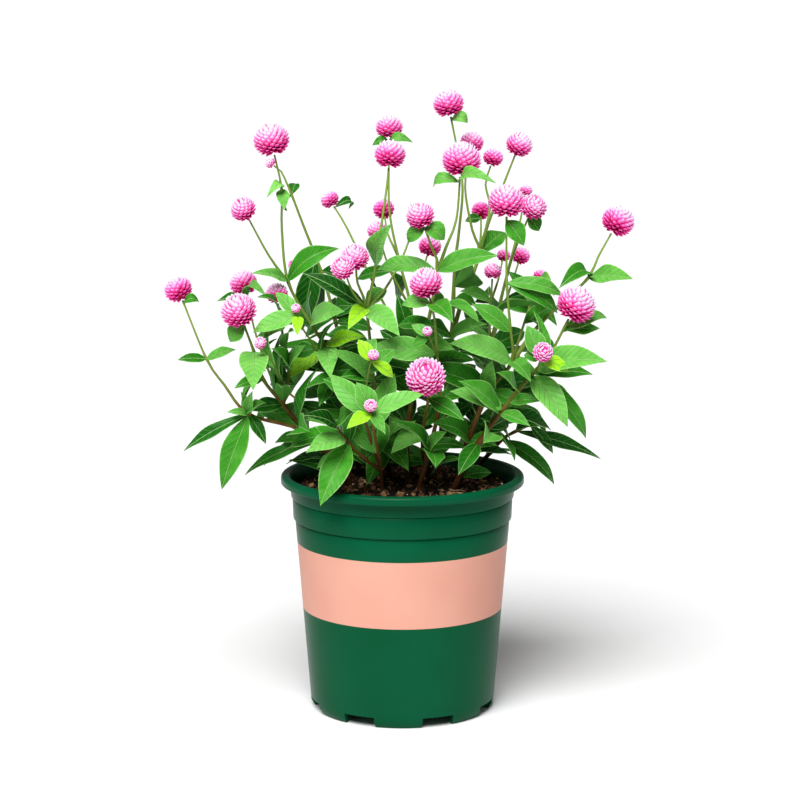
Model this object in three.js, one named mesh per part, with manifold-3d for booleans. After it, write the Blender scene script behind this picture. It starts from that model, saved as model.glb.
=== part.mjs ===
// A globe amaranth in bloom in its round nursery pot, in millimetres. +Z is up, the view of the
// front looks along +Y, and the origin is on the pot's axis in the plane that its feet stand on.
import * as THREE from "three";
import { mergeVertices } from "three/addons/utils/BufferGeometryUtils.js";
import Module from "manifold-3d";

const wasm = await Module();
wasm.setup();

const GAP = 0.3; // clear space between pieces that touch

// The pot: an injection-moulded nursery pot of about one gallon, 170 across its rim.
const POT = {
  height: 166.6,
  rimRadius: 85,
  lipHeight: 6.1,
  lipThick: 1.6,
  flangeThick: 1.7,
  wall: 1.6,
  footHeight: 8,
  floorThick: 2.2,
  sides: 32,
  notchWidth: 23,
  notchHeight: 7.4,
  notchDepth: 12,
  notchAngles: [-164, -117.9, -67.4, -23, 21, 64.6, 108.4, 152], // degrees round from +X
  drains: 5,
  drainRadius: 5,
  drainCircle: 42,
};

// The outer wall from the foot up to the flange, as [radius, height].
const POT_WALL = [
  [62, 0],
  [64.6, 4.5],
  [75.1, 134.4],
  [76.5, 136],
  [77, 149.8],
  [77.9, 151.2],
  [78.7, 157.5],
  [79.9, 164.9],
];
const FOOT_INNER = 59.5;
const RIM_INNER = 79.9;
const RIM_ROUND = 0.9;
const POT_INNER_STEPS = [2, 3, 6, 7]; // the points of the outer wall that the inner one repeats

// The potting mix: a little mounded, and rough on top.
const SOIL = { edge: 156.5, crown: 161.5, sides: 20, rings: 3, rough: 1.4 };

// What a point looks like from the front: it is stated by where its sight line crosses the plane
// through the pot's axis, as [across, up], and by how far behind that plane it is.
const EYE = new THREE.Vector3(0, -1726, 516);

// The leafy stems. Each branch runs through its points, [across, up, depth], from thick[0] to
// thick[1] in radius, and may end in a bloom of the diameter head. A leaf is [where it leaves the
// branch, counted in points, then its tip across and up, its width, and its arch where it isn't
// the usual one]. Pairs are opposite leaves spaced evenly between two such places: [from, to, how
// many pairs, leaf length].
const STEMS = [
  [
    {
      via: [[-30, 136, -4], [-44, 174, -14], [-71, 197, -25], [-107, 208, -32], [-124, 229, -30],
        [-136, 247, -25], [-152, 288, -12]],
      thick: [2.4, 0.9],
      head: 20,
      leaves: [[3, -154, 182, 9], [3, -127, 154, 17], [3, -95, 187, 9], [3, -112, 224, 7],
        [3, -105, 224, 8], [3, -122, 210, 6], [3, -96, 217, 9], [5, -156, 247, 8, 0.1],
        [5, -116, 254, 9, 0.1], [5.95, -140.5, 287, 7, 1.1]],
      pairs: [2, 2, 1, 48],
    },
  ],
  [
    {
      via: [[-20, 136, 16], [-38, 166, 6], [-63, 190, -6], [-83, 215, -18], [-97, 233, -30],
        [-103, 252, -38], [-110, 271.5, -44]],
      thick: [2.8, 1.1],
      head: 25,
      leaves: [[2.4, -96, 205, 10, 0.3], [2, -90, 188, 9, 0.4], [1.9, -112, 165, 9, 0.3],
        [3, -107, 211, 12], [5, -104, 227, 20], [5.95, -120, 259, 13, 0.3], [4, -117, 227, 9],
        [3, -84, 229, 11], [1, -80, 176, 10]],
      pairs: [1, 2, 2, 46],
    },
    { via: [[-83, 215, -18], [-82, 224, -28], [-88, 240, -44], [-97, 255.5, -56]], thick: [1.2, 0.8],
      head: 9 },
    { via: [[-83, 215, -18], [-79, 239, -20], [-84, 270, -17], [-86, 286, -15]], thick: [1.3, 0.9],
      head: 16,
      leaves: [[1, -90, 255, 12], [1, -68, 257, 12], [2, -96, 262, 12],
        [1.5, -76, 268, 12], [2.5, -99, 292, 9]] },
    { via: [[-83, 215, -18], [-92, 236, -4], [-101, 262, 8], [-108, 292, 15]], thick: [1.3, 0.9],
      head: 20, leaves: [[2.9, -128, 288, 8], [2.9, -94, 292, 9, 0.4]] },
  ],
  [
    {
      via: [[-12, 136, 4], [-15, 168, 3], [-33, 200, 1], [-49, 232, -2], [-54, 256, -4],
        [-63, 271, -6], [-79, 301, -10], [-83, 337, -14], [-83, 365, -17], [-87.7, 388.5, -20]],
      thick: [2.8, 0.9],
      head: 25,
      leaves: [[4, -26, 263, 13], [4, -79, 234, 14], [4, -50, 234, 15], [6, -103, 308, 9],
        [6, -43, 325, 15, 0.55], [8, -93.5, 359, 7, 0.9], [8, -81, 351, 9],
        [2, -67, 205, 16], [2, -77, 217, 12], [3, -58, 214, 12],
        [1, -62, 196, 13], [1, -46, 197, 13]],
      pairs: [1.4, 5, 3, 56],
    },
    { via: [[-79, 301, -10], [-92, 319, -18], [-106, 345, -28]], thick: [1.3, 0.9], head: 18 },
    { via: [[-49, 232, -2], [-60, 254, -24], [-70, 270, -40], [-73, 280, -46]], thick: [1.2, 0.8],
      head: 7, leaves: [[2.7, -104, 266, 14], [2.7, -73, 264, 8], [2.6, -88, 294, 10],
        [1, -77, 250, 13]] },
  ],
  [
    {
      via: [[-24, 136, 34], [-34, 190, 38], [-40, 240, 44], [-47, 276, 50], [-56, 308, 51],
        [-68.5, 341, 47], [-76, 361, 43], [-83, 377, 40], [-88, 381, 38]],
      thick: [2.4, 0.8],
      head: 8,
      leaves: [[6, -80, 350, 8], [6, -73, 369, 8], [3.9, -62.5, 264, 22], [4, -40, 299, 13],
        [3, -28, 287, 13],
        [3, -24, 270, 14], [3, -68, 262, 13], [2, -71, 250, 15], [2, -58, 262, 13],
        [2, -34, 262, 13],
        [1, -58, 231, 13], [1, -50, 220, 13]],
      pairs: [1, 3, 3, 52],
    },
    { via: [[-56, 308, 51], [-67, 314, 64], [-74, 313, 72]], thick: [1.1, 0.8], head: 7 },
    { via: [[-34, 190, 38], [-58, 206, 58], [-80, 224, 78]], thick: [1.7, 1.1],
      pairs: [1, 1.9, 2, 40] },
  ],
  [
    {
      via: [[-10, 136, 18], [-9, 168, 12], [-17, 204, -8], [-20, 232, -18], [-25, 282, -28],
        [-31, 300, -34], [-32, 310, -37]],
      thick: [2.6, 1],
      head: 20,
      leaves: [[4, -69, 308, 13], [4, -38, 268, 12, 0.3], [4, -2, 264, 17], [2, -18, 176, 17],
        [1.4, -25, 158, 14], [3, -43, 235, 12], [2.5, -50, 225, 12], [3, -50, 254, 13],
        [1.5, -46, 205, 13]],
      pairs: [1.6, 3, 2, 52],
    },
    { via: [[-25, 282, -28], [-34, 293, -44], [-39, 305.5, -53]], thick: [1.2, 0.9], head: 17 },
    { via: [[-25, 282, -28], [-20, 303, -22], [-15, 337, -14], [-11, 365, -8], [-9.5, 379.5, -5]],
      thick: [1.5, 0.9], head: 22, leaves: [[1.3, -9, 341, 16]] },
    { via: [[-25, 282, -28], [-12, 296, -10], [0, 318, 6], [9, 343, 18]], thick: [1.2, 0.9],
      head: 16 },
  ],
  [
    {
      via: [[2, 136, 32], [4, 200, 37], [6, 250, 43], [6, 282, 47], [-3, 319, 54],
        [-9, 352, 60], [-9, 399, 64]],
      thick: [2.6, 0.9],
      head: 20,
      leaves: [[5.92, -21, 395, 8, 0.9], [5.92, 7.5, 397, 8, 0.9], [2, 30, 266, 14],
        [2, -16, 268, 13], [1.5, -22, 250, 13], [1, 20, 186, 12], [1, -18, 212, 14]],
      pairs: [1, 2, 2, 47],
    },
    { via: [[-3, 319, 54], [-10, 334, 72], [-12, 346, 82]], thick: [1.2, 0.9], head: 16 },
    { via: [[6, 282, 47], [-8, 308, 42], [-16, 331.5, 38]], thick: [1.2, 0.9], head: 14,
      leaves: [[1, -2, 287, 13], [1, -32, 303, 12]] },
    { via: [[6, 250, 43], [-18, 296, 60], [-38, 338, 72], [-47, 353, 76]], thick: [1.3, 0.9],
      head: 14, leaves: [[2.95, -36.5, 351.5, 7, 1]] },
    { via: [[6, 282, 47], [13, 305, 56], [17, 319, 61]], thick: [1.2, 0.9], head: 17 },
    { via: [[4, 200, 37], [0, 222, 52], [-8, 242, 60]], thick: [1.7, 1.1],
      pairs: [0.9, 1.95, 3, 40] },
  ],
  [
    {
      via: [[4, 136, -8], [4, 200, -12], [14, 254, -20], [24, 308, -27], [20, 325, -30],
        [15, 339, -33]],
      thick: [2.6, 1],
      head: 20,
      leaves: [[3, 66, 320, 16, 0.2], [3, -19, 310, 14, 0.3], [4.95, 3.5, 328, 11, 0.5],
        [4.95, 29, 330, 14, 0.5], [1, -8, 190, 12], [2, 36, 254, 13]],
      pairs: [1, 2.5, 3, 50],
    },
    { via: [[24, 308, -27], [30, 325, -26], [37, 344, -26], [39.5, 373.5, -25]], thick: [1.5, 0.9],
      head: 27, leaves: [[2.87, 20.5, 366.5, 9, 0.9],
        [2.84, 64.5, 369.5, 10, 0.6]] },
  ],
  [
    {
      via: [[22, 136, 28], [28, 200, 22], [34, 262, 17], [36, 310, 14], [39, 337, 14],
        [41, 371, 15], [33, 414.5, 16]],
      thick: [2.6, 0.9],
      head: 22,
      leaves: [[5.95, 45, 410, 9, 1], [2, 11, 271, 14], [2, 58, 272, 14], [2.5, 51, 285, 12],
        [1.5, 54, 234, 13],
        [1, 10, 214, 13], [1, 48, 216, 13]],
      pairs: [1, 2.7, 3, 52],
    },
    { via: [[34, 262, 17], [42, 290, 22], [53, 320, 31], [48, 337, 34], [43, 366, 36],
      [46.5, 390, 38]], thick: [2, 0.9], head: 17, leaves: [[2, 71, 336, 15]] },
    { via: [[53, 320, 31], [59, 341, 28], [70, 370, 22], [77, 388, 20]], thick: [1.4, 0.9],
      head: 19 },
    { via: [[53, 320, 31], [54, 335, 50], [54, 346, 62]], thick: [1.2, 0.9], head: 14,
      leaves: [[1.9, 43, 343, 8]] },
    { via: [[53, 320, 31], [60, 351, 46], [57, 368, 52], [60.5, 381, 56]], thick: [1.2, 0.9],
      head: 15 },
  ],
  [
    {
      via: [[32, 136, 0], [46, 190, -10], [61, 225, -18], [76, 245, -22], [75, 266, -27],
        [72, 300, -34], [71.5, 346, -40]],
      thick: [2.8, 0.9],
      head: 25,
      leaves: [[3, 33, 259, 21], [3, 89, 232, 13], [5.95, 84, 326, 14], [5, 113, 291, 12, 0.3],
        [5, 109, 279, 13, 0.3], [2, 62, 246, 13], [2, 84, 212, 12], [1, 66, 186, 13]],
      pairs: [1, 2, 2, 52],
    },
    { via: [[76, 245, -22], [94, 270, -12], [113, 289, -4], [128.5, 304, 2], [135, 318.5, 5],
      [143.7, 334.5, 8]],
      thick: [1.9, 0.9], head: 23.5, leaves: [[3, 108, 297, 14, 0.5], [3, 158.5, 304, 15, 0.1]] },
    { via: [[76, 245, -22], [83, 268, -6], [88, 284, 8], [94, 300, 18]], thick: [1.2, 0.9],
      head: 12, leaves: [[2.9, 105, 292, 10, 0.4]] },
  ],
  [
    {
      via: [[38, 136, 38], [50, 200, 44], [62, 260, 48], [72, 305, 42], [80, 330, 26],
        [87.5, 347, 14]],
      thick: [2.4, 0.9],
      head: 19,
      leaves: [[4.95, 94, 336, 11], [2, 42, 281, 13], [2.5, 93, 286, 12, 0.3],
        [2.5, 105, 277, 16, 0.3], [1, 38, 238, 13], [1, 46, 180, 13], [1.5, 72, 236, 12]],
      pairs: [1, 1.6, 3, 50],
    },
    { via: [[72, 305, 42], [80, 338, 58], [84, 360, 66]], thick: [1.2, 0.8], head: 10 },
    { via: [[62, 260, 48], [74, 295, 64], [80, 314, 74]], thick: [1.3, 0.9], head: 14 },
    { via: [[50, 200, 44], [72, 212, 60], [92, 224, 70]], thick: [1.7, 1.1],
      pairs: [0.9, 1.95, 3, 40] },
  ],
  [
    {
      via: [[28, 136, -16], [43, 170, -26], [60, 198, -32], [79, 223, -36], [89, 235, -38],
        [103, 252, -41], [115, 275, -44]],
      thick: [2.8, 1.1],
      head: 27,
      leaves: [[2.5, 33, 225, 15], [1.6, 39, 165, 13], [4, 116, 199, 18, 0.3],
        [4, 130, 190, 14, 0.4], [4.3, 141, 247, 22], [5.7, 137, 269, 11, 0],
        [2.7, 97, 218, 9], [2.4, 89, 200, 10], [3, 66, 238, 12]],
      pairs: [1.9, 2.4, 2, 44],
    },
    { via: [[89, 235, -38], [94, 241, -54], [96.5, 249, -68]], thick: [1.3, 0.9], head: 14,
      leaves: [[1.8, 86, 271, 14], [1.8, 84, 250, 10], [1.8, 116, 238, 11]] },
  ],
  [
    {
      via: [[44, 136, 44], [53, 170, 38], [62, 181, 30], [69, 190, 24], [79, 196, 18],
        [90, 201, 14]],
      thick: [2.3, 1.2],
      leaves: [[3, 107, 158, 12, 0.4], [2.6, 47, 208, 14], [4, 140, 177, 10], [4, 96, 200, 9, 0.4],
        [4.9, 106, 180, 8]],
    },
  ],
  [
    {
      via: [[22, 136, 14], [20, 163, 8], [15, 178, -8], [14, 195, -28], [18, 219, -56],
        [17, 227.5, -66]],
      thick: [2.3, 1.3],
      head: 27,
      leaves: [[3, -8, 181, 15], [2.3, 46, 184, 10, 0.5], [4, 43, 204, 12], [1.7, -10, 174, 9],
        [1, 40, 178, 11]],
    },
  ],
  [
    {
      via: [[40, 136, 16], [50, 200, 6], [59, 254, -6], [61, 287, -9], [62, 303, -10]],
      thick: [2.2, 0.9],
      head: 12.5,
      leaves: [[3, 40, 295, 11], [3, 50, 287, 8], [1.7, 40, 260, 13], [1, 34, 196, 12],
        [1, 62, 188, 12]],
      pairs: [1, 2.7, 3, 52],
    },
    { via: [[61, 287, -9], [66, 302, 4], [69, 316, 16]], thick: [1.1, 0.8], head: 10 },
  ],
  [
    {
      via: [[6, 136, -28], [18, 180, -34], [26, 218, -38], [24, 250, -44], [22, 276, -50],
        [18.5, 290.5, -52]],
      thick: [2.2, 1],
      head: 23,
      leaves: [[4.6, -1, 285, 11, 0.3], [4.6, 35, 273, 14, 0.25], [2, 4, 240, 13],
        [1, -6, 204, 13], [1, 30, 196, 13]],
      pairs: [1, 3, 2, 46],
    },
    { via: [[24, 250, -44], [21, 256, -56], [18, 264.5, -64]], thick: [1.2, 0.8], head: 7,
      leaves: [[1.8, 6, 271, 8], [1.8, 7, 256, 8]] },
  ],
  [
    {
      via: [[-14, 136, -26], [-15, 168, -44], [-20, 196, -77], [-22, 212, -98]],
      thick: [2, 1],
      head: 9,
      leaves: [[2.8, -32, 231, 15], [2.8, 15, 223, 13], [2.8, -39, 198, 10], [2.8, -12, 194, 8]],
    },
    { via: [[-15, 168, -44], [-26, 205, -64], [-24, 236, -80], [-21, 247, -86]],
      thick: [1.3, 0.8], head: 8, leaves: [[2.8, -31, 261, 10], [2.8, -6, 234, 9]] },
    { via: [[-15, 168, -44], [-28, 178, -52], [-37, 187, -57], [-46, 200, -60]],
      thick: [1.6, 1.1],
      leaves: [[2, -58, 143, 20], [2.3, -67, 182, 15], [2.9, -68, 208, 13], [2.9, -30, 214, 12],
        [1, -62, 200, 12]] },
  ],
];

// Blooms: [from this diameter up, bract tips round a row times two, rows plus one].
const HEAD_ROWS = [[20, 9, 6], [11, 6, 5], [0, 6, 4]];
const HEAD = { flat: 0.86, sink: 0.84, lean: 0.12, foot: 0.95 };

// A blade's thickness at the midrib, how far its halves fold up, how far it arches, and how
// squarely it faces outward rather than upward. Width over length is slim for a broad one.
const BLADE = { thick: 1.1, fold: 0.2, arch: 0.15, slim: 0.36, face: 0.62 };
const BLADE_RINGS = [0.12, 0.45, 0.8];
const SHORTEST_TOWARD = 20; // depth past which a blade points away from the viewer

// Clear space that a new blade keeps to what already stands, in its own node and in others.
const CLEAR = { own: 1.8, other: 3.2, root: 0.3, pot: 2.2 };
const BROAD_BLADE = 14; // narrower blades are bent less than the depths below
const DEPTH_SHIFTS = [0, -6, 6, -12, 12, -19, 19, -27, 27, -36, 36];
const TURNS = [0, 18, -18, 36, -36, 54, -54];
const PITCHES = [0.3, 0.55, 0.05, -0.2];

const STEM_STEP = 30;
const TAPER = 0.6; // below 1, so a stem thins sooner near its foot
const THICK_STEM = 1.6; // from this radius a stem has five sides, and four below it

const COLOURS = {
  pot: "#0b5b3a",
  soil: "#2e2018",
  stem: "#3f9a26",
  bloom: "#f27cc8",
};

const { lerp, degToRad } = THREE.MathUtils;
const UP = new THREE.Vector3(0, 0, 1);
const vec = (x, y, z) => new THREE.Vector3(x, y, z);

// A repeatable draw between 0 and 1 for every whole number.
function draw(seed) {
  const wave = Math.sin(seed * 12.9898 + 4.1414) * 43758.5453;
  return wave - Math.floor(wave);
}

// The real point behind [across, up] on the sight line, at the given depth.
function seen(across, up, depth) {
  const far = 1 + depth / -EYE.y;
  return vec(across * far, depth, EYE.z + (up - EYE.z) * far);
}

// The part of a direction that stands square to an axis, at length 1.
function square(direction, axis) {
  return direction.clone().addScaledVector(axis, -direction.dot(axis)).normalize();
}

// A closed skin over rings of points between two poles, each ring running round the way ahead.
// crossed(i, j) picks the other diagonal for the quad after point i of ring j.
function skin(first, rings, last, crossed = () => false) {
  const around = rings[0].length;
  const points = [first, ...rings.flat(), last];
  const at = (i, j) => 1 + j * around + (i % around);
  const index = [];
  for (let i = 0; i < around; i += 1) {
    index.push(0, at(i + 1, 0), at(i, 0));
    index.push(points.length - 1, at(i, rings.length - 1), at(i + 1, rings.length - 1));
    for (let j = 0; j + 1 < rings.length; j += 1) {
      const [a, b, c, d] = [at(i, j), at(i + 1, j), at(i + 1, j + 1), at(i, j + 1)];
      index.push(...(crossed(i, j) ? [a, b, d, b, c, d] : [a, b, c, a, c, d]));
    }
  }
  const geometry = new THREE.BufferGeometry().setFromPoints(points);
  geometry.setIndex(index);
  return geometry;
}

// The geometry with shared corners merged and its flat-out faces dropped.
function welded(geometry) {
  geometry.deleteAttribute("normal");
  geometry.deleteAttribute("uv");
  const merged = mergeVertices(geometry, 1e-3);
  const faces = [];
  for (let k = 0; k < merged.index.count; k += 3) {
    const face = [0, 1, 2].map((corner) => merged.index.getX(k + corner));
    if (new Set(face).size === 3) {
      faces.push(...face);
    }
  }
  merged.setIndex(faces);
  return merged;
}

function toSolid(geometry) {
  return new wasm.Manifold(
    new wasm.Mesh({
      numProp: 3,
      vertProperties: Float32Array.from(geometry.attributes.position.array),
      triVerts: Uint32Array.from(geometry.index.array),
    }),
  );
}

function toGeometry(solid) {
  const mesh = solid.getMesh();
  const geometry = new THREE.BufferGeometry();
  geometry.setAttribute("position", new THREE.BufferAttribute(mesh.vertProperties, 3));
  geometry.setIndex(new THREE.BufferAttribute(mesh.triVerts, 1));
  return geometry;
}

function part(name, geometry, colour, roughness) {
  const material = new THREE.MeshStandardMaterial({ color: colour, roughness, metalness: 0 });
  const mesh = new THREE.Mesh(geometry, material);
  mesh.name = name;
  return mesh;
}

// The pot

// The outer radius of the pot's wall at a height.
function wallRadius(height) {
  const k = POT_WALL.findIndex(([, z]) => z >= height);
  const [[r0, z0], [r1, z1]] = [POT_WALL[k - 1], POT_WALL[k]];
  return lerp(r0, r1, (height - z0) / (z1 - z0));
}

// The radius of the soil where it meets the wall.
function soilEdgeRadius() {
  const [[r0, z0], [r1, z1]] = [innerWall[2], innerWall[3]];
  return lerp(r0, r1, (SOIL.edge - z0) / (z1 - z0));
}

const FLOOR_TOP = POT.footHeight + POT.floorThick;
const innerWall = [
  [wallRadius(FLOOR_TOP) - POT.wall, FLOOR_TOP],
  ...POT_INNER_STEPS.map((k) => [POT_WALL[k][0] - POT.wall, POT_WALL[k][1]]),
];

function makePot() {
  const { rimRadius, height, lipHeight, lipThick, flangeThick } = POT;
  const underFlange = height - flangeThick;
  const profile = [
    [0, POT.footHeight],
    [FOOT_INNER, POT.footHeight],
    [FOOT_INNER, 0],
    ...POT_WALL,
    [rimRadius - lipThick, underFlange],
    [rimRadius - lipThick, height - lipHeight],
    [rimRadius, height - lipHeight],
    [rimRadius, height - RIM_ROUND],
    [rimRadius - RIM_ROUND, height],
    [RIM_INNER, height],
    ...innerWall.toReversed(),
    [0, FLOOR_TOP],
  ];
  const outline = profile.map(([r, z]) => new THREE.Vector2(r, z));
  const lathe = new THREE.LatheGeometry(outline, POT.sides).rotateX(Math.PI / 2);
  let solid = toSolid(welded(lathe));
  for (const angle of POT.notchAngles) {
    const box = new THREE.BoxGeometry(POT.notchDepth, POT.notchWidth, POT.notchHeight * 2);
    box.translate(POT_WALL[0][0], 0, 0);
    box.rotateZ(degToRad(angle));
    solid = solid.subtract(toSolid(welded(box)));
  }
  for (let k = 0; k < POT.drains; k += 1) {
    const plug = new THREE.CylinderGeometry(POT.drainRadius, POT.drainRadius, POT.footHeight * 2, 8);
    plug.rotateX(Math.PI / 2).translate(POT.drainCircle, 0, POT.footHeight + 1);
    plug.rotateZ(((k + 0.5) * 2 * Math.PI) / POT.drains);
    solid = solid.subtract(toSolid(welded(plug)));
  }
  return part("pot", toGeometry(solid), COLOURS.pot, 0.35);
}

// The stems

// One branch as a curve with its radius, and the frame square to it.
function makeBranch({ via, thick }) {
  const points = via.map((place) => seen(...place));
  const curve = new THREE.CatmullRomCurve3(points, false, "catmullrom", 0.5);
  const last = via.length - 1;
  return { curve, points, last, radius: (t) => lerp(thick[0], thick[1], t ** TAPER) };
}

const FRAME_SIDE = vec(0.3, 1, 0.1).normalize();

function frameAt(branch, t) {
  const along = branch.curve.getTangent(t);
  const side = square(FRAME_SIDE, along);
  return { at: branch.curve.getPoint(t), along, side, front: along.clone().cross(side) };
}

// Places along a branch, counted in its points: every point, and between far ones.
function stationsOf(branch, step) {
  const stations = [0];
  for (let k = 0; k < branch.last; k += 1) {
    const parts = Math.max(1, Math.round(branch.points[k].distanceTo(branch.points[k + 1]) / step));
    for (let n = 1; n <= parts; n += 1) {
      stations.push(k + n / parts);
    }
  }
  return stations;
}

function branchSolid(branch, extra = 0) {
  const sides = branch.radius(0) >= THICK_STEM ? 5 : 4;
  const rings = stationsOf(branch, STEM_STEP).map((station) => {
    const { at, side, front } = frameAt(branch, station / branch.last);
    const radius = branch.radius(station / branch.last) + extra;
    return Array.from({ length: sides }, (_, i) => {
      const angle = (i * 2 * Math.PI) / sides;
      return at.clone()
        .addScaledVector(side, radius * Math.cos(angle))
        .addScaledVector(front, radius * Math.sin(angle));
    });
  });
  const start = branch.curve.getPoint(0);
  if (extra > 0) {
    start.addScaledVector(branch.curve.getTangent(0), -GAP * 2);
    rings[0].forEach((point) => point.addScaledVector(branch.curve.getTangent(0), -GAP * 2));
  }
  return toSolid(skin(start, rings, branch.curve.getPoint(1)));
}

// The leaves

// A leaf from its base and tip, its width, and the way that its upper face looks.
function makeLeaf(base, tip, width, outward, arch = BLADE.arch) {
  const chord = tip.clone().sub(base);
  const length = chord.length();
  const ahead = chord.clone().divideScalar(length);
  const facing = UP.clone().multiplyScalar(1 - BLADE.face).addScaledVector(outward, BLADE.face);
  const normal = square(facing, ahead);
  const bow = base.clone().lerp(tip, 0.5).addScaledVector(normal, arch * length);
  const spine = new THREE.QuadraticBezierCurve3(base, bow, tip);
  return { spine, side: normal.clone().cross(ahead), width, length };
}

const bladeWidth = (t) => Math.sin(Math.PI * t ** 0.95) ** 1.1;

// The point of a blade at t along it, and across it from -1 to 1 between its edges.
function onBlade(leaf, t, across, lift = 0) {
  const normal = leaf.spine.getTangent(t).cross(leaf.side);
  const half = (bladeWidth(t) * leaf.width) / 2;
  return leaf.spine.getPoint(t)
    .addScaledVector(leaf.side, across * half)
    .addScaledVector(normal, Math.abs(across) * half * BLADE.fold + lift);
}

function leafSolid(leaf) {
  const rings = BLADE_RINGS.map((t) => [
    onBlade(leaf, t, 1),
    onBlade(leaf, t, 0, BLADE.thick / 2),
    onBlade(leaf, t, -1),
    onBlade(leaf, t, 0, -BLADE.thick / 2),
  ]);
  const [base, tip] = [leaf.spine.getPoint(0), leaf.spine.getPoint(1)];
  return toSolid(skin(base, rings, tip, (i) => i % 2 === 1));
}

// Keeping clear: samples of what stands already, each a cloud of points with a thickness.
const standing = [];

function stand(owner, points, radius) {
  const ball = new THREE.Sphere().setFromPoints(points);
  standing.push({ owner, points, radius, centre: ball.center, reach: ball.radius + radius });
}

function bladeSamples(leaf) {
  const samples = [];
  const rows = Math.max(4, Math.ceil(leaf.length / 4.5));
  const columns = leaf.width > 11 ? [-1, -0.5, 0, 0.5, 1] : [-0.9, 0, 0.9];
  for (let row = 1; row <= rows; row += 1) {
    columns.forEach((across) => samples.push(onBlade(leaf, row / rows, across)));
  }
  return samples;
}

// How far a point stands clear of the pot and the soil.
function potRoom(point) {
  const radius = Math.hypot(point.x, point.y);
  const outside = radius - POT.rimRadius;
  const aboveRim = point.z - POT.height;
  if (radius < RIM_INNER - CLEAR.pot) {
    return point.z - SOIL.crown;
  }
  return Math.max(outside, aboveRim);
}

// The least clear space beyond what is asked for, between a blade and all that stands.
function roomFor(leaf, owner) {
  const samples = bladeSamples(leaf);
  const columns = leaf.width > 11 ? 5 : 3;
  const rooted = Math.ceil((samples.length / columns) * CLEAR.root) * columns;
  const ball = new THREE.Sphere().setFromPoints(samples);
  let room = Math.min(...samples.map((point) => potRoom(point) - CLEAR.pot));
  for (const thing of standing) {
    const own = thing.owner === owner;
    const asked = own ? CLEAR.own : CLEAR.other;
    if (thing.centre.distanceTo(ball.center) - thing.reach - ball.radius > asked) {
      continue;
    }
    samples.forEach((sample, k) => {
      if (own && k < rooted) {
        return;
      }
      for (const point of thing.points) {
        room = Math.min(room, sample.distanceTo(point) - thing.radius - asked);
      }
    });
  }
  return room;
}

// The first of the leaves to choose from that stands clear, or else the one with the most room.
function bestOf(choices, owner) {
  let best = null;
  for (const leaf of choices) {
    const room = roomFor(leaf, owner);
    if (!best || room > best.room) {
      best = { leaf, room };
    }
    if (room >= 0) {
      break;
    }
  }
  return best;
}

// A leaf whose tip is seen at [across, up]. Its depth follows from how long so wide a blade is,
// and it is bent nearer or farther along its sight line until it stands clear.
function seenLeaf(branch, [place, across, up, width, arch], owner) {
  const base = branch.curve.getPoint(place / branch.last);
  const flatTip = seen(across, up, base.y);
  const inSight = flatTip.distanceTo(base);
  const toward = base.y < SHORTEST_TOWARD ? -1 : 1;
  const wanted = Math.sqrt(Math.max(0, (width / BLADE.slim) ** 2 - inSight ** 2));
  const bend = Math.min(1, width / BROAD_BLADE);
  const choices = DEPTH_SHIFTS.map((shift) => {
    const tip = seen(across, up, base.y + toward * wanted + shift * bend);
    return makeLeaf(base, tip, width, EYE.clone().sub(tip).normalize(), arch);
  });
  return bestOf(choices, owner);
}

// One leaf of an opposite pair, at an angle round its stem.
function pairLeaf(branch, place, angle, length, owner) {
  const { at, along, side, front } = frameAt(branch, place / branch.last);
  const choices = [];
  for (const pitch of PITCHES) {
    for (const turn of TURNS) {
      const round = degToRad(angle + turn);
      const way = side.clone().multiplyScalar(Math.cos(round)).addScaledVector(front, Math.sin(round));
      way.addScaledVector(along, pitch).addScaledVector(UP, -0.15).normalize();
      const tip = at.clone().addScaledVector(way, length);
      const outward = vec(tip.x, tip.y, 0).normalize();
      choices.push(makeLeaf(at, tip, length * BLADE.slim, outward));
    }
  }
  return bestOf(choices, owner);
}

// The blooms

// A bloom on the end of its branch: rows of bract tips round a smaller core.
function bloomOf(branch, width) {
  const axis = branch.curve.getTangent(1);
  const radius = width / 2;
  const end = branch.curve.getPoint(1);
  const centre = end.clone().addScaledVector(axis, GAP + radius * HEAD.flat * HEAD.foot);
  return { axis, radius, centre };
}

function bloomSolid({ axis, radius, centre }) {
  const [, around, rows] = HEAD_ROWS.find(([from]) => radius * 2 >= from);
  const side = square(FRAME_SIDE, axis);
  const front = axis.clone().cross(side);
  const place = (angle, fromBase, reach) => centre.clone()
    .addScaledVector(side, reach * Math.sin(fromBase) * Math.cos(angle))
    .addScaledVector(front, reach * Math.sin(fromBase) * Math.sin(angle))
    .addScaledVector(axis, -reach * Math.cos(fromBase) * HEAD.flat);
  const rings = Array.from({ length: rows - 1 }, (_, j) =>
    Array.from({ length: around }, (_unused, i) => {
      const isTip = (i + j) % 2 === 0;
      const fromBase = (Math.PI * (j + 1)) / rows + (isTip ? HEAD.lean : 0);
      return place((i * 2 * Math.PI) / around, fromBase, radius * (isTip ? 1 : HEAD.sink));
    }));
  const foot = place(0, 0, radius * HEAD.foot);
  const top = place(0, Math.PI, radius);
  return skin(foot, rings, top, (i, j) => (i + j) % 2 === 0);
}

// The soil

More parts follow.
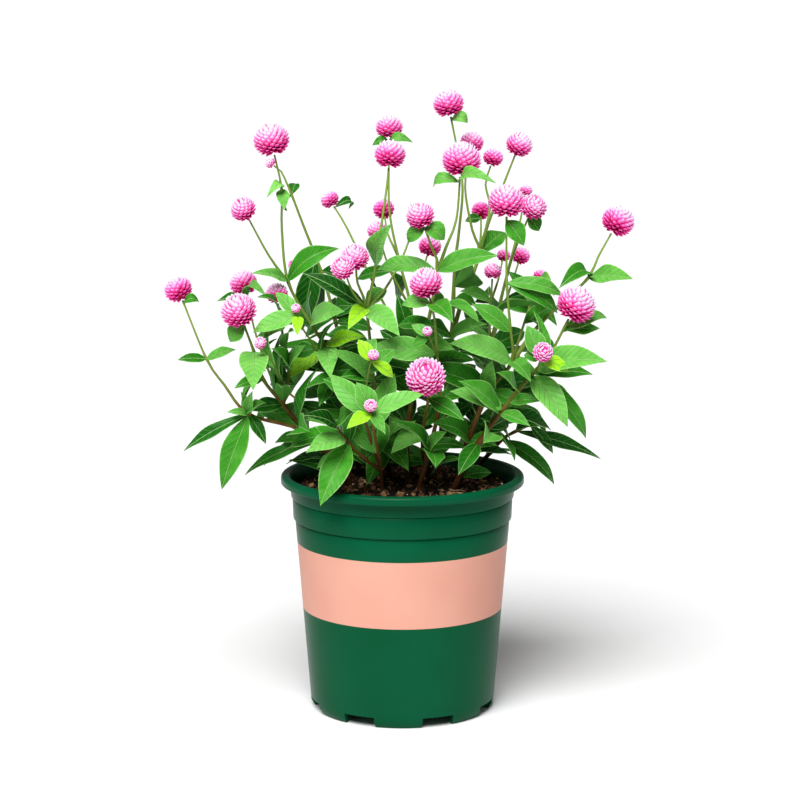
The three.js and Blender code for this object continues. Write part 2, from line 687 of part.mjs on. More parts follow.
function makeSoil(feet) {
  const facet = Math.cos(Math.PI / POT.sides);
  const bottom = FLOOR_TOP + GAP;
  const below = innerWall.filter(([, z]) => z < SOIL.edge && z > bottom);
  const steps = [innerWall[0], ...below, [soilEdgeRadius(), SOIL.edge]];
  const ringAt = (radius, height) => Array.from({ length: SOIL.sides }, (_, i) => {
    const angle = (i * 2 * Math.PI) / SOIL.sides;
    return vec(radius * Math.cos(angle), radius * Math.sin(angle), height(i));
  });
  const rings = steps.map(([r, z]) => ringAt(r * facet - GAP, () => Math.max(z, bottom)));
  const edge = soilEdgeRadius() * facet - GAP;
  for (let j = 1; j <= SOIL.rings; j += 1) {
    const inward = j / (SOIL.rings + 1);
    const level = lerp(SOIL.edge, SOIL.crown, Math.sin((inward * Math.PI) / 2));
    rings.push(ringAt(edge * (1 - inward), (i) => level + SOIL.rough * (draw(i + j * 31) - 0.5) * 2));
  }
  let solid = toSolid(skin(vec(0, 0, bottom), rings, vec(0, 0, SOIL.crown)));
  for (const foot of feet) {
    solid = solid.subtract(branchSolid(foot, GAP * 1.4));
  }
  return part("soil", toGeometry(solid), COLOURS.soil, 1);
}

// Putting it together: every stem and bloom first, then the leaves that find room among them.

const plants = STEMS.map((branches) => branches.map((spec) => ({ ...spec, ...makeBranch(spec) })));
const blooms = [];
plants.forEach((branches, owner) => {
  branches.forEach((branch) => {
    const dense = stationsOf(branch, 3).map((station) => branch.curve.getPoint(station / branch.last));
    stand(owner, dense, branch.radius(0.5));
    if (branch.head) {
      const bloom = bloomOf(branch, branch.head);
      blooms.push(bloom);
      stand(-1, [bloom.centre], bloom.radius * 0.9);
    }
  });
});

const leaves = plants.map(() => []);
function grow(owner, leaf) {
  leaves[owner].push(leaf);
  stand(owner, bladeSamples(leaf), 0);
}

plants.forEach((branches, owner) => {
  branches.forEach((branch) => {
    (branch.leaves ?? []).forEach((leaf) => grow(owner, seenLeaf(branch, leaf, owner).leaf));
  });
});

let seed = 1;
plants.forEach((branches, owner) => {
  branches.filter((branch) => branch.pairs).forEach((branch) => {
    const [from, to, count, length] = branch.pairs;
    for (let k = 0; k < count; k += 1) {
      const place = count > 1 ? lerp(from, to, k / (count - 1)) : from;
      for (let twin = 0; twin < 2; twin += 1) {
        seed += 1;
        const angle = k * 90 + twin * 180 + 40 * draw(seed);
        const reach = length * lerp(0.85, 1.1, draw(seed + 500));
        const found = pairLeaf(branch, place, angle, reach, owner);
        if (found.room >= 0) {
          grow(owner, found.leaf);
        }
      }
    }
  });
});

const group = new THREE.Group();
group.add(makePot());
group.add(makeSoil(plants.map((branches) => branches[0])));
plants.forEach((branches, owner) => {
  const pieces = [...branches.map((branch) => branchSolid(branch)), ...leaves[owner].map(leafSolid)];
  const name = `leafy_stem_${String(owner + 1).padStart(2, "0")}`;
  group.add(part(name, toGeometry(wasm.Manifold.union(pieces).simplify(0.01)), COLOURS.stem, 0.6));
});
blooms.forEach((bloom, k) => {
  const name = `flower_head_${String(k + 1).padStart(2, "0")}`;
  group.add(part(name, bloomSolid(bloom), COLOURS.bloom, 0.8));
});

export default group;
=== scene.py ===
import itertools
import math

import bmesh
import bpy
import numpy as np
from mathutils import Matrix, Vector, noise


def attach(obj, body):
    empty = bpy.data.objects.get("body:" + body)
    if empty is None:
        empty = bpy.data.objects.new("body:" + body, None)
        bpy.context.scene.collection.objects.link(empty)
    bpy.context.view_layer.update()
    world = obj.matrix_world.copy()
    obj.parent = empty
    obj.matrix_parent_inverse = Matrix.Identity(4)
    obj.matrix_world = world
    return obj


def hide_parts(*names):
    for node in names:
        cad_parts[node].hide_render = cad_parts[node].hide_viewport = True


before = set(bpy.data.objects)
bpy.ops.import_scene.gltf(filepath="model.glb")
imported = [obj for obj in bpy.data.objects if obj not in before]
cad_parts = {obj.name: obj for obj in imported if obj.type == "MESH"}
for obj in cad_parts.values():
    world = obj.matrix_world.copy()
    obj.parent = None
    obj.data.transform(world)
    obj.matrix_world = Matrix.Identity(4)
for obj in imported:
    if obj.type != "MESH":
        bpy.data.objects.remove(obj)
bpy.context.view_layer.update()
scene = bpy.context.scene

# The camera stands 1.7 m from the pot and a little above the plant, with a long lens, and looks
# down by some ten degrees.
CAMERA_AT = (-0.0017, -1.7257, 0.51625)
CAMERA_TILT = 9.8
FOCAL_PIXELS = 2516
FRAME_PIXELS = 800
FILM_WIDTH = 36
lens = bpy.data.cameras.new("camera")
lens.sensor_width = FILM_WIDTH
lens.lens = FILM_WIDTH * FOCAL_PIXELS / FRAME_PIXELS
camera = bpy.data.objects.new("camera", lens)
camera.location = CAMERA_AT
camera.rotation_euler = (math.radians(90 - CAMERA_TILT), 0, 0)
scene.collection.objects.link(camera)
scene.camera = camera

# The pot: a one-gallon nursery pot, injection moulded in green polypropylene, with a rolled-down
# rim, two shallow steps that let it stack, a printed band, and a notched foot ring under a raised
# floor with drains. Its outline runs through points of radius and height, in millimetres.
MM = 0.001
POT_UNDERSIDE = [(0, 8), (59.5, 8), (59.5, 0)]
POT_WALL = [(62, 0), (63.3, 2.2), (64.6, 4.5), (65, 9)]
POT_STEPS = [(75.1, 134.3), (74.6, 135.1), (76.5, 136), (77, 149.7), (76.5, 150.4), (77.9, 151.2),
             (78.7, 157.5), (79.9, 164.9)]
POT_RIM = [(83.4, 164.9), (83.4, 160.5), (85, 160.5), (85, 166.6), (79.9, 166.6)]
POT_INSIDE = [(78.3, 164.9), (77.1, 157.5), (74.9, 136), (73.1, 134.2), (63.6, 11.5), (61.5, 10.2),
              (0, 10.2)]
ROUNDED = {(85, 166.6): 2.6, (79.9, 166.6): 0.8, (85, 160.5): 0.8, (83.4, 160.5): 0.4,
           (76.5, 136): 0.3, (77.9, 151.2): 0.3, (79.9, 164.9): 0.6, (62, 0): 0.5}
POT_SIDES = 196
WALL_THICK = 1.6
BAND = (72.1, 119.3)  # the printed band's lower and upper edge
NOTCH_SIZE = (12, 23, 14.8)
NOTCH_RADIUS = 62
NOTCH_ANGLES = [-164, -117.9, -67.4, -23, 21, 64.6, 108.4, 152]
DRAINS = 5
DRAIN_CIRCLE = 42  # the radius of the circle that they stand on
DRAIN_RADIUS = 5
SOFT_EDGE = 0.35
SHARP_ANGLE = 50  # degrees, past which an edge is softened


def wall_radius(height):
    """The outer radius of the wall at a height."""
    corners = POT_WALL + POT_STEPS
    return float(np.interp(height, [z for _, z in corners], [r for r, _ in corners]))


def linear(colour):
    """The linear values of an sRGB hex colour."""
    parts = [int(colour[k:k + 2], 16) / 255 for k in (1, 3, 5)]
    return [p / 12.92 if p <= 0.04045 else ((p + 0.055) / 1.055) ** 2.4 for p in parts] + [1]


def add(tree, kind, inputs=(), **settings):
    """Adds a node with its settings. An input is a value, or the node or the output linked to it."""
    made = tree.nodes.new("ShaderNode" + kind)
    for name, value in settings.items():
        setattr(made, name, value)
    for name, value in dict(inputs).items():
        if isinstance(value, bpy.types.Node):
            value = value.outputs[0]
        if isinstance(value, bpy.types.NodeSocket):
            tree.links.new(value, made.inputs[name])
        else:
            made.inputs[name].default_value = value
    return made


def spots(tree, size, detail=2):
    """Noise in spots of a real size in millimetres, fixed to the piece."""
    place = add(tree, "TexCoord").outputs["Object"]
    return add(tree, "TexNoise", {"Vector": place, "Scale": 1 / (size * MM), "Detail": detail})


def ranged(tree, value, start, end, low=0, high=1, **settings):
    """A value brought from the range of start to end into that of low to high."""
    inputs = {"Value": value, "From Min": start, "From Max": end, "To Min": low, "To Max": high}
    return add(tree, "MapRange", inputs, **settings)


def coloured(tree, value, *stops):
    """A colour that follows a value, from stop to stop."""
    made = add(tree, "ValToRGB", {"Fac": value})
    ramp = made.color_ramp.elements
    while len(ramp) < len(stops):
        ramp.new(1)
    for element, (place, colour) in zip(ramp, stops):
        element.position = place
        element.color = linear(colour)
    return made


def new_material(name):
    """An empty node material, and its tree."""
    material = bpy.data.materials.new(name)
    material.use_nodes = True
    material.node_tree.nodes.clear()
    return material, material.node_tree


def surface(tree, inputs):
    """Ends a material with its shader."""
    add(tree, "OutputMaterial", {"Surface": add(tree, "BsdfPrincipled", inputs)})


def placed(name, built):
    """Makes an object of a bmesh."""
    mesh = bpy.data.meshes.new(name)
    built.to_mesh(mesh)
    built.free()
    piece = bpy.data.objects.new(name, mesh)
    scene.collection.objects.link(piece)
    return piece


def finished(name, built, materials, node):
    """Makes a piece of a bmesh in millimetres, which stands for a solid of the frame."""
    bmesh.ops.scale(built, vec=(MM, MM, MM), verts=built.verts)
    piece = placed(name, built)
    for material in materials:
        piece.data.materials.append(material)
    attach(piece, "root")
    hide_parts(node)
    return piece


def moulded_plastic(name, dark, bright, roughness):
    """Polypropylene straight from a polished mould: satin, with a faint ripple and a fine grain."""
    material, tree = new_material(name)
    ripple = spots(tree, 60)
    grain = spots(tree, 0.7, 1)  # the mould's spark grain, drawn coarser than life
    tint = coloured(tree, ripple, (0.3, dark), (0.7, bright))
    gloss = ranged(tree, ripple, 0, 1, roughness - 0.05, roughness + 0.07)
    bump = add(tree, "Bump", {"Height": grain, "Strength": 0.25, "Distance": 0.02 * MM})
    surface(tree, {"Base Color": tint, "Roughness": gloss, "Normal": bump, "IOR": 1.49,
                   "Specular IOR Level": 0.07})
    return material


pot_green = moulded_plastic("moulded green polypropylene", "#01482a", "#025032", 0.3)
# Screen-printed ink lies on the wall as a thin even coat, a little duller than the plastic.
band_ink = moulded_plastic("screen-printed peach ink", "#d29684", "#d79e8c", 0.42)

pot = bmesh.new()
printed = [(wall_radius(z), z) for z in BAND]
profile = [*POT_UNDERSIDE, *POT_WALL, *printed, *POT_STEPS, *POT_RIM, *POT_INSIDE]
corners = {(r, z): pot.verts.new((r, 0, z)) for r, z in profile}
line = [corners[point] for point in profile]
for start, end in zip(line, line[1:]):
    pot.edges.new((start, end))
for point, size in ROUNDED.items():
    bmesh.ops.bevel(pot, geom=[corners[point]], offset=size, affect="VERTICES", segments=4, profile=0.5,
                    material=-1)
bmesh.ops.spin(pot, geom=pot.verts[:] + pot.edges[:], axis=(0, 0, 1), angle=math.tau,
               steps=POT_SIDES, use_merge=True)
bmesh.ops.remove_doubles(pot, verts=pot.verts, dist=0.001)
bmesh.ops.recalc_face_normals(pot, faces=pot.faces)
for face in pot.faces:
    centre = face.calc_center_median()
    on_wall = centre.xy.length > wall_radius(centre.z) - WALL_THICK / 2
    face.material_index = int(on_wall and BAND[0] < centre.z < BAND[1])
pot = finished("nursery_pot", pot, [pot_green, band_ink], "pot")

# The notches and the drains are cut out of the turned pot.
cutter = bmesh.new()
for angle in NOTCH_ANGLES:
    turn = Matrix.Rotation(math.radians(angle), 4, "Z")
    block = Matrix.Translation((NOTCH_RADIUS, 0, 0)) @ Matrix.Diagonal((*NOTCH_SIZE, 1))
    bmesh.ops.create_cube(cutter, size=1, matrix=Matrix.Scale(MM, 4) @ turn @ block)
for k in range(DRAINS):
    turn = Matrix.Rotation(math.tau * (k + 0.5) / DRAINS, 4, "Z")
    bmesh.ops.create_cone(cutter, cap_ends=True, segments=24, radius1=DRAIN_RADIUS, radius2=DRAIN_RADIUS,
                          depth=8, matrix=Matrix.Scale(MM, 4) @ turn
                          @ Matrix.Translation((DRAIN_CIRCLE, 0, 9)))
cutter = placed("cutter", cutter)
cut = pot.modifiers.new("notches", "BOOLEAN")
cut.object = cutter
cut.solver = "EXACT"
cut_mesh = bpy.data.meshes.new_from_object(pot.evaluated_get(bpy.context.evaluated_depsgraph_get()))
pot.modifiers.clear()
pot.data = cut_mesh
bpy.data.objects.remove(cutter)
pot.data.shade_smooth()
soft = pot.modifiers.new("soft edges", "BEVEL")
soft.width = SOFT_EDGE * MM
soft.segments = 2
soft.limit_method = "ANGLE"
soft.angle_limit = math.radians(SHARP_ANGLE)
soft.harden_normals = True

# The potting mix: dark peat in crumbs of a few millimetres, with bits of bark, pale grains of
# perlite and a few dry fibres, filled to a finger's breadth under the rim and a little mounded.
# A size that is drawn at random is given as the least and how much more it may be.
SOIL_EDGE = 156.5
SOIL_CROWN = 161.5
SOIL_RADIUS = 74.8
SOIL_BODY = [(61.2, 10.6), (62.4, 11.5), (72.3, 134.4), (74, 136), (75.4, 156)]
SOIL_RINGS = 44
SOIL_SIDES = 150
SOIL_WAVES = [(17, 3.1, 1.3), (6, 7.7, 1), (2.2, 1.3, 1)]  # how long, which noise, and how high
CREVICE = 0.9  # how far the surface between the crumbs rises and falls
CRUMBS = 1300
CRUMB_SIZE = (0.65, 2.1)
PERLITE = 34
PERLITE_SIZE = (0.35, 0.8)
FIBRES = 30
FIBRE_LENGTH = (4, 8)
FIBRE_THICK = (0.16, 0.3)
FIBRE_STEPS = 6
FIBRE_RAISED = 1.1


def draw(seed):
    """A repeatable draw between 0 and 1 for every number."""
    wave = math.sin(seed * 12.9898 + 4.1414) * 43758.5453
    return wave - math.floor(wave)


def drawn(sizes, seed, power=1):
    """A size drawn at random, small more often with a higher power."""
    return sizes[0] + sizes[1] * draw(seed) ** power


def ground(x, y):
    """The height of the soil's surface."""
    inward = max(0.0, 1 - math.hypot(x, y) / SOIL_RADIUS)
    level = SOIL_EDGE + (SOIL_CROWN - SOIL_EDGE) * math.sin(inward * math.pi / 2)
    waves = (noise.noise(Vector((x / long, y / long, which))) * high for long, which, high in SOIL_WAVES)
    return level + sum(waves) * CREVICE


def tube(built, sides, places):
    """A closed tube through places, each of which lays the unit circle round the tube's line."""
    ring = bmesh.ops.create_circle(built, cap_ends=True, segments=sides, radius=1)["verts"]
    bmesh.ops.transform(built, matrix=places[0], verts=ring)
    rim = ring[0].link_faces[0].edges[:]
    for here, there in zip(places, places[1:]):
        made = bmesh.ops.extrude_edge_only(built, edges=rim)["geom"]
        corners = [e for e in made if isinstance(e, bmesh.types.BMVert)]
        bmesh.ops.transform(built, matrix=there @ here.inverted(), verts=corners)
        rim = [e for e in made if isinstance(e, bmesh.types.BMEdge)]
    bmesh.ops.edgeloop_fill(built, edges=rim)


def smooth(faces, material=0):
    """Shades faces smoothly, in one of their piece's materials."""
    for face in faces:
        face.smooth = True
        face.material_index = material


def as_pattern(built, name, layers, material=0):
    """Keeps a bmesh as a pattern mesh, with the attributes that its copies carry."""
    smooth(built.faces, material)
    pattern = bpy.data.meshes.new(name)
    built.to_mesh(pattern)
    built.free()
    for layer, kind in layers.items():
        pattern.attributes.new(layer, kind, "POINT")
    points = np.empty(len(pattern.vertices) * 3, dtype=np.float32)
    pattern.vertices.foreach_get("co", points)
    return pattern, points.reshape(-1, 3).astype(float)


def cast(built, pattern, points, **values):
    """Adds a copy of a pattern mesh to a bmesh, with its corners and attributes set anew."""
    pattern.vertices.foreach_set("co", np.asarray(points, dtype=np.float32).ravel())
    for name, value in values.items():
        attribute = pattern.attributes[name]
        kind, shape = "value", len(points)
        if attribute.data_type == "FLOAT_VECTOR":
            kind, shape = "vector", points.shape
        full = np.broadcast_to(np.asarray(value, dtype=np.float32), shape)
        attribute.data.foreach_set(kind, full.ravel())
    built.from_mesh(pattern)


def turned(seed):
    """A rotation drawn at random."""
    turns = [Matrix.Rotation(draw(seed + k * 0.3) * math.tau, 3, axis) for k, axis in enumerate("ZXY")]
    return np.array(turns[0] @ turns[1] @ turns[2])


def lump_pattern(k, subdivisions, material):
    """A rough lump of about 1 in radius."""
    lump = bmesh.new()
    bmesh.ops.create_icosphere(lump, subdivisions=subdivisions, radius=1)
    for corner in lump.verts:
        corner.co *= 1 + 0.55 * noise.noise(corner.co * 1.7 + Vector((k * 9, 0, 0)))
    return as_pattern(lump, f"lump_{k}", {"shade": "FLOAT"}, material)


def strewn(seed, size, raised):
    """Where a grain lies on the soil, raised by a share of its size."""
    angle, reach = draw(seed) * math.tau, math.sqrt(draw(seed + 0.5)) * (SOIL_RADIUS - size)
    x, y = reach * math.cos(angle), reach * math.sin(angle)
    return np.array((x, y, ground(x, y) + size * raised))


soil = bmesh.new()
# The surface itself keeps a shade of 0, which the peat paints nearly black as painted shade in the hollows.
soil.verts.layers.float.new("shade")
levels = SOIL_BODY + [(SOIL_RADIUS * (1 - (k + 0.2) / SOIL_RINGS), SOIL_EDGE) for k in range(SOIL_RINGS)]
tube(soil, SOIL_SIDES, [Matrix.Translation((0, 0, z)) @ Matrix.Diagonal((r, r, 1, 1)) for r, z in levels])
for corner in soil.verts:
    if corner.co.z > SOIL_EDGE - 0.1:
        corner.co.z = ground(corner.co.x, corner.co.y)
bmesh.ops.recalc_face_normals(soil, faces=soil.faces)
smooth(soil.faces)

crumb_lumps = [lump_pattern(k, 2, 0) for k in range(3)]
for k in range(CRUMBS):
    pattern, points = crumb_lumps[k % 3]
    size = drawn(CRUMB_SIZE, k + 0.1, 2.4)
    stretch = np.array((1, 0.6 + 0.4 * draw(k + 0.2), 0.45 + 0.4 * draw(k + 0.4)))
    cast(soil, pattern, (points * size * stretch) @ turned(k).T + strewn(k + 7000, size, 0.25),
         shade=draw(k + 0.7))
pattern, points = lump_pattern(3, 1, 1)
for k in range(PERLITE):
    size = drawn(PERLITE_SIZE, k + 300.1, 2)
    cast(soil, pattern, points * size @ turned(k + 90).T + strewn(k + 9000, size, 0.9))
for k in range(FIBRES):
    middle_x, middle_y, _ = strewn(k + 12000, 6, 0)
    way, long, thick = draw(k + 0.9) * math.tau, drawn(FIBRE_LENGTH, k + 0.8), drawn(FIBRE_THICK, k + 0.3)
    places = []
    for step in range(FIBRE_STEPS):
        bend = way + 0.5 * math.sin(step + k)
        off = long * (step / (FIBRE_STEPS - 1) - 0.5)
        x, y = middle_x + off * math.cos(bend), middle_y + off * math.sin(bend)
        if math.hypot(x, y) > SOIL_RADIUS - 1:
            break
        lie = Matrix.Translation((x, y, ground(x, y) + FIBRE_RAISED + 0.4 * step * draw(k)))
        taper = thick * (0.35 + math.sin(math.pi * (step + 0.5) / FIBRE_STEPS))
        places.append(lie @ Matrix.Rotation(bend, 4, "Z") @ Matrix.Rotation(math.pi / 2, 4, "Y")
                      @ Matrix.Diagonal((taper, taper, 1, 1)))
    if len(places) > 3:
        count = len(soil.faces)
        tube(soil, 5, places)
        soil.faces.ensure_lookup_table()
        smooth(soil.faces[count:], 2)


def scaled(tree, value, factor, more=0):
    """A value times a factor, and something more."""
    return add(tree, "Math", {0: value, 1: factor, 2: more}, operation="MULTIPLY_ADD")


# Moist peat is dull brown on its crumbs and scatters light all ways. Its hollows, the ground between
# the crumbs, are painted nearly black as painted shade, and the tan of the palest crumbs is partly
# painted highlight.
peat, tree = new_material("moist peat and bark crumbs")
# The ground between the crumbs carries a shade of 0, the darkest: painted shade in the hollows.
crumb = add(tree, "Attribute", attribute_name="shade").outputs["Fac"]
fine = spots(tree, 1.1, 4)
peat_colour_and_painted_light = coloured(tree, scaled(tree, crumb, 0.5, scaled(tree, fine, 0.5)),
                 (0.22, "#0e0704"), (0.45, "#2e1a0e"), (0.6, "#5e3c24"), (0.75, "#a5825c"))
rough = add(tree, "Bump", {"Height": fine, "Strength": 0.8, "Distance": 0.5 * MM})
surface(tree, {"Base Color": peat_colour_and_painted_light, "Roughness": 0.95, "Normal": rough, "Specular IOR Level": 0.2})

# Perlite is puffed volcanic glass, chalk white and full of pores.
perlite, tree = new_material("puffed perlite")
white = coloured(tree, spots(tree, 0.5), (0.3, "#b9a690"), (0.6, "#efe6da"))
surface(tree, {"Base Color": white, "Roughness": 0.9})

# The fibres are dry stalk and bark, straw-coloured with darker lengths.
fibre, tree = new_material("dry stalk fibre")
straw = coloured(tree, spots(tree, 4), (0.35, "#8a6238"), (0.65, "#d3b283"))
surface(tree, {"Base Color": straw, "Roughness": 0.7})

finished("potting_mix", soil, [peat, perlite, fibre], "soil")

# The leafy stems: sixteen shoots out of the soil, woody and red-brown at the foot and green above,
# forked into thin stalks that each carry a bloom, with soft hairy leaves in opposite pairs.
EYE = np.array((0, -1726, 516.0))  # the place that the plant is seen from, at the camera
TAPER = 0.6  # below 1, so a stem thins sooner near its foot
STEP = 1e-4  # the step over which a direction along a line is measured


def seen(across, up, depth):
    """The real point behind a place in view, at a depth."""
    far = 1 + depth / -EYE[1]
    return np.array((across * far, depth, EYE[2] + (up - EYE[2]) * far))


def way_along(line, t):
    """The directions of a line at places t from 0 to 1."""
    way = line(np.minimum(t + STEP, 1)) - line(np.maximum(t - STEP, 0))
    return way / np.linalg.norm(way, axis=1)[:, None]


class Branch:
    """A branch as a smooth line through its points, with its radius along it."""

    def __init__(self, points, thick, head=0, leaves=(), pairs=(0, 0, 0, 0)):
        inner = np.array([seen(*point) for point in points])
        self.last = len(inner) - 1
        self.points = np.vstack((2 * inner[0] - inner[1], inner, 2 * inner[-1] - inner[-2]))
        self.thick, self.head, self.leaves, self.pairs = thick, head, leaves, pairs

    def line(self, t):
        """The points at places t, each on a cubic curve through its neighbours."""
        place = np.clip(t, 0, 1) * self.last
        k = np.minimum(np.floor(place).astype(int), self.last - 1)
        w = (place - k)[:, None]
        before, start, end, after = (self.points[k + n] for n in range(4))
        leave, arrive = 0.5 * (end - before), 0.5 * (after - start)
        return (start + leave * w + (3 * (end - start) - 2 * leave - arrive) * w ** 2
                + (2 * (start - end) + leave + arrive) * w ** 3)

    def at(self, t):
        """The point at one place, and the branch's direction there."""
        t = np.array([float(t)])
        return self.line(t)[0], way_along(self.line, t)[0]

    def radius(self, t):
        """Its radius at a place."""
        start, end = self.thick
        return start + (end - start) * t ** TAPER

    def stations(self, step):
        """Places along the branch, counted in its points: every point, and between far ones."""
        stations = [0.0]
        for k in range(self.last):
            length = np.linalg.norm(self.points[k + 2] - self.points[k + 1])
            parts = max(1, math.floor(length / step + 0.5))
            stations += [k + n / parts for n in range(1, parts + 1)]
        return np.array(stations)


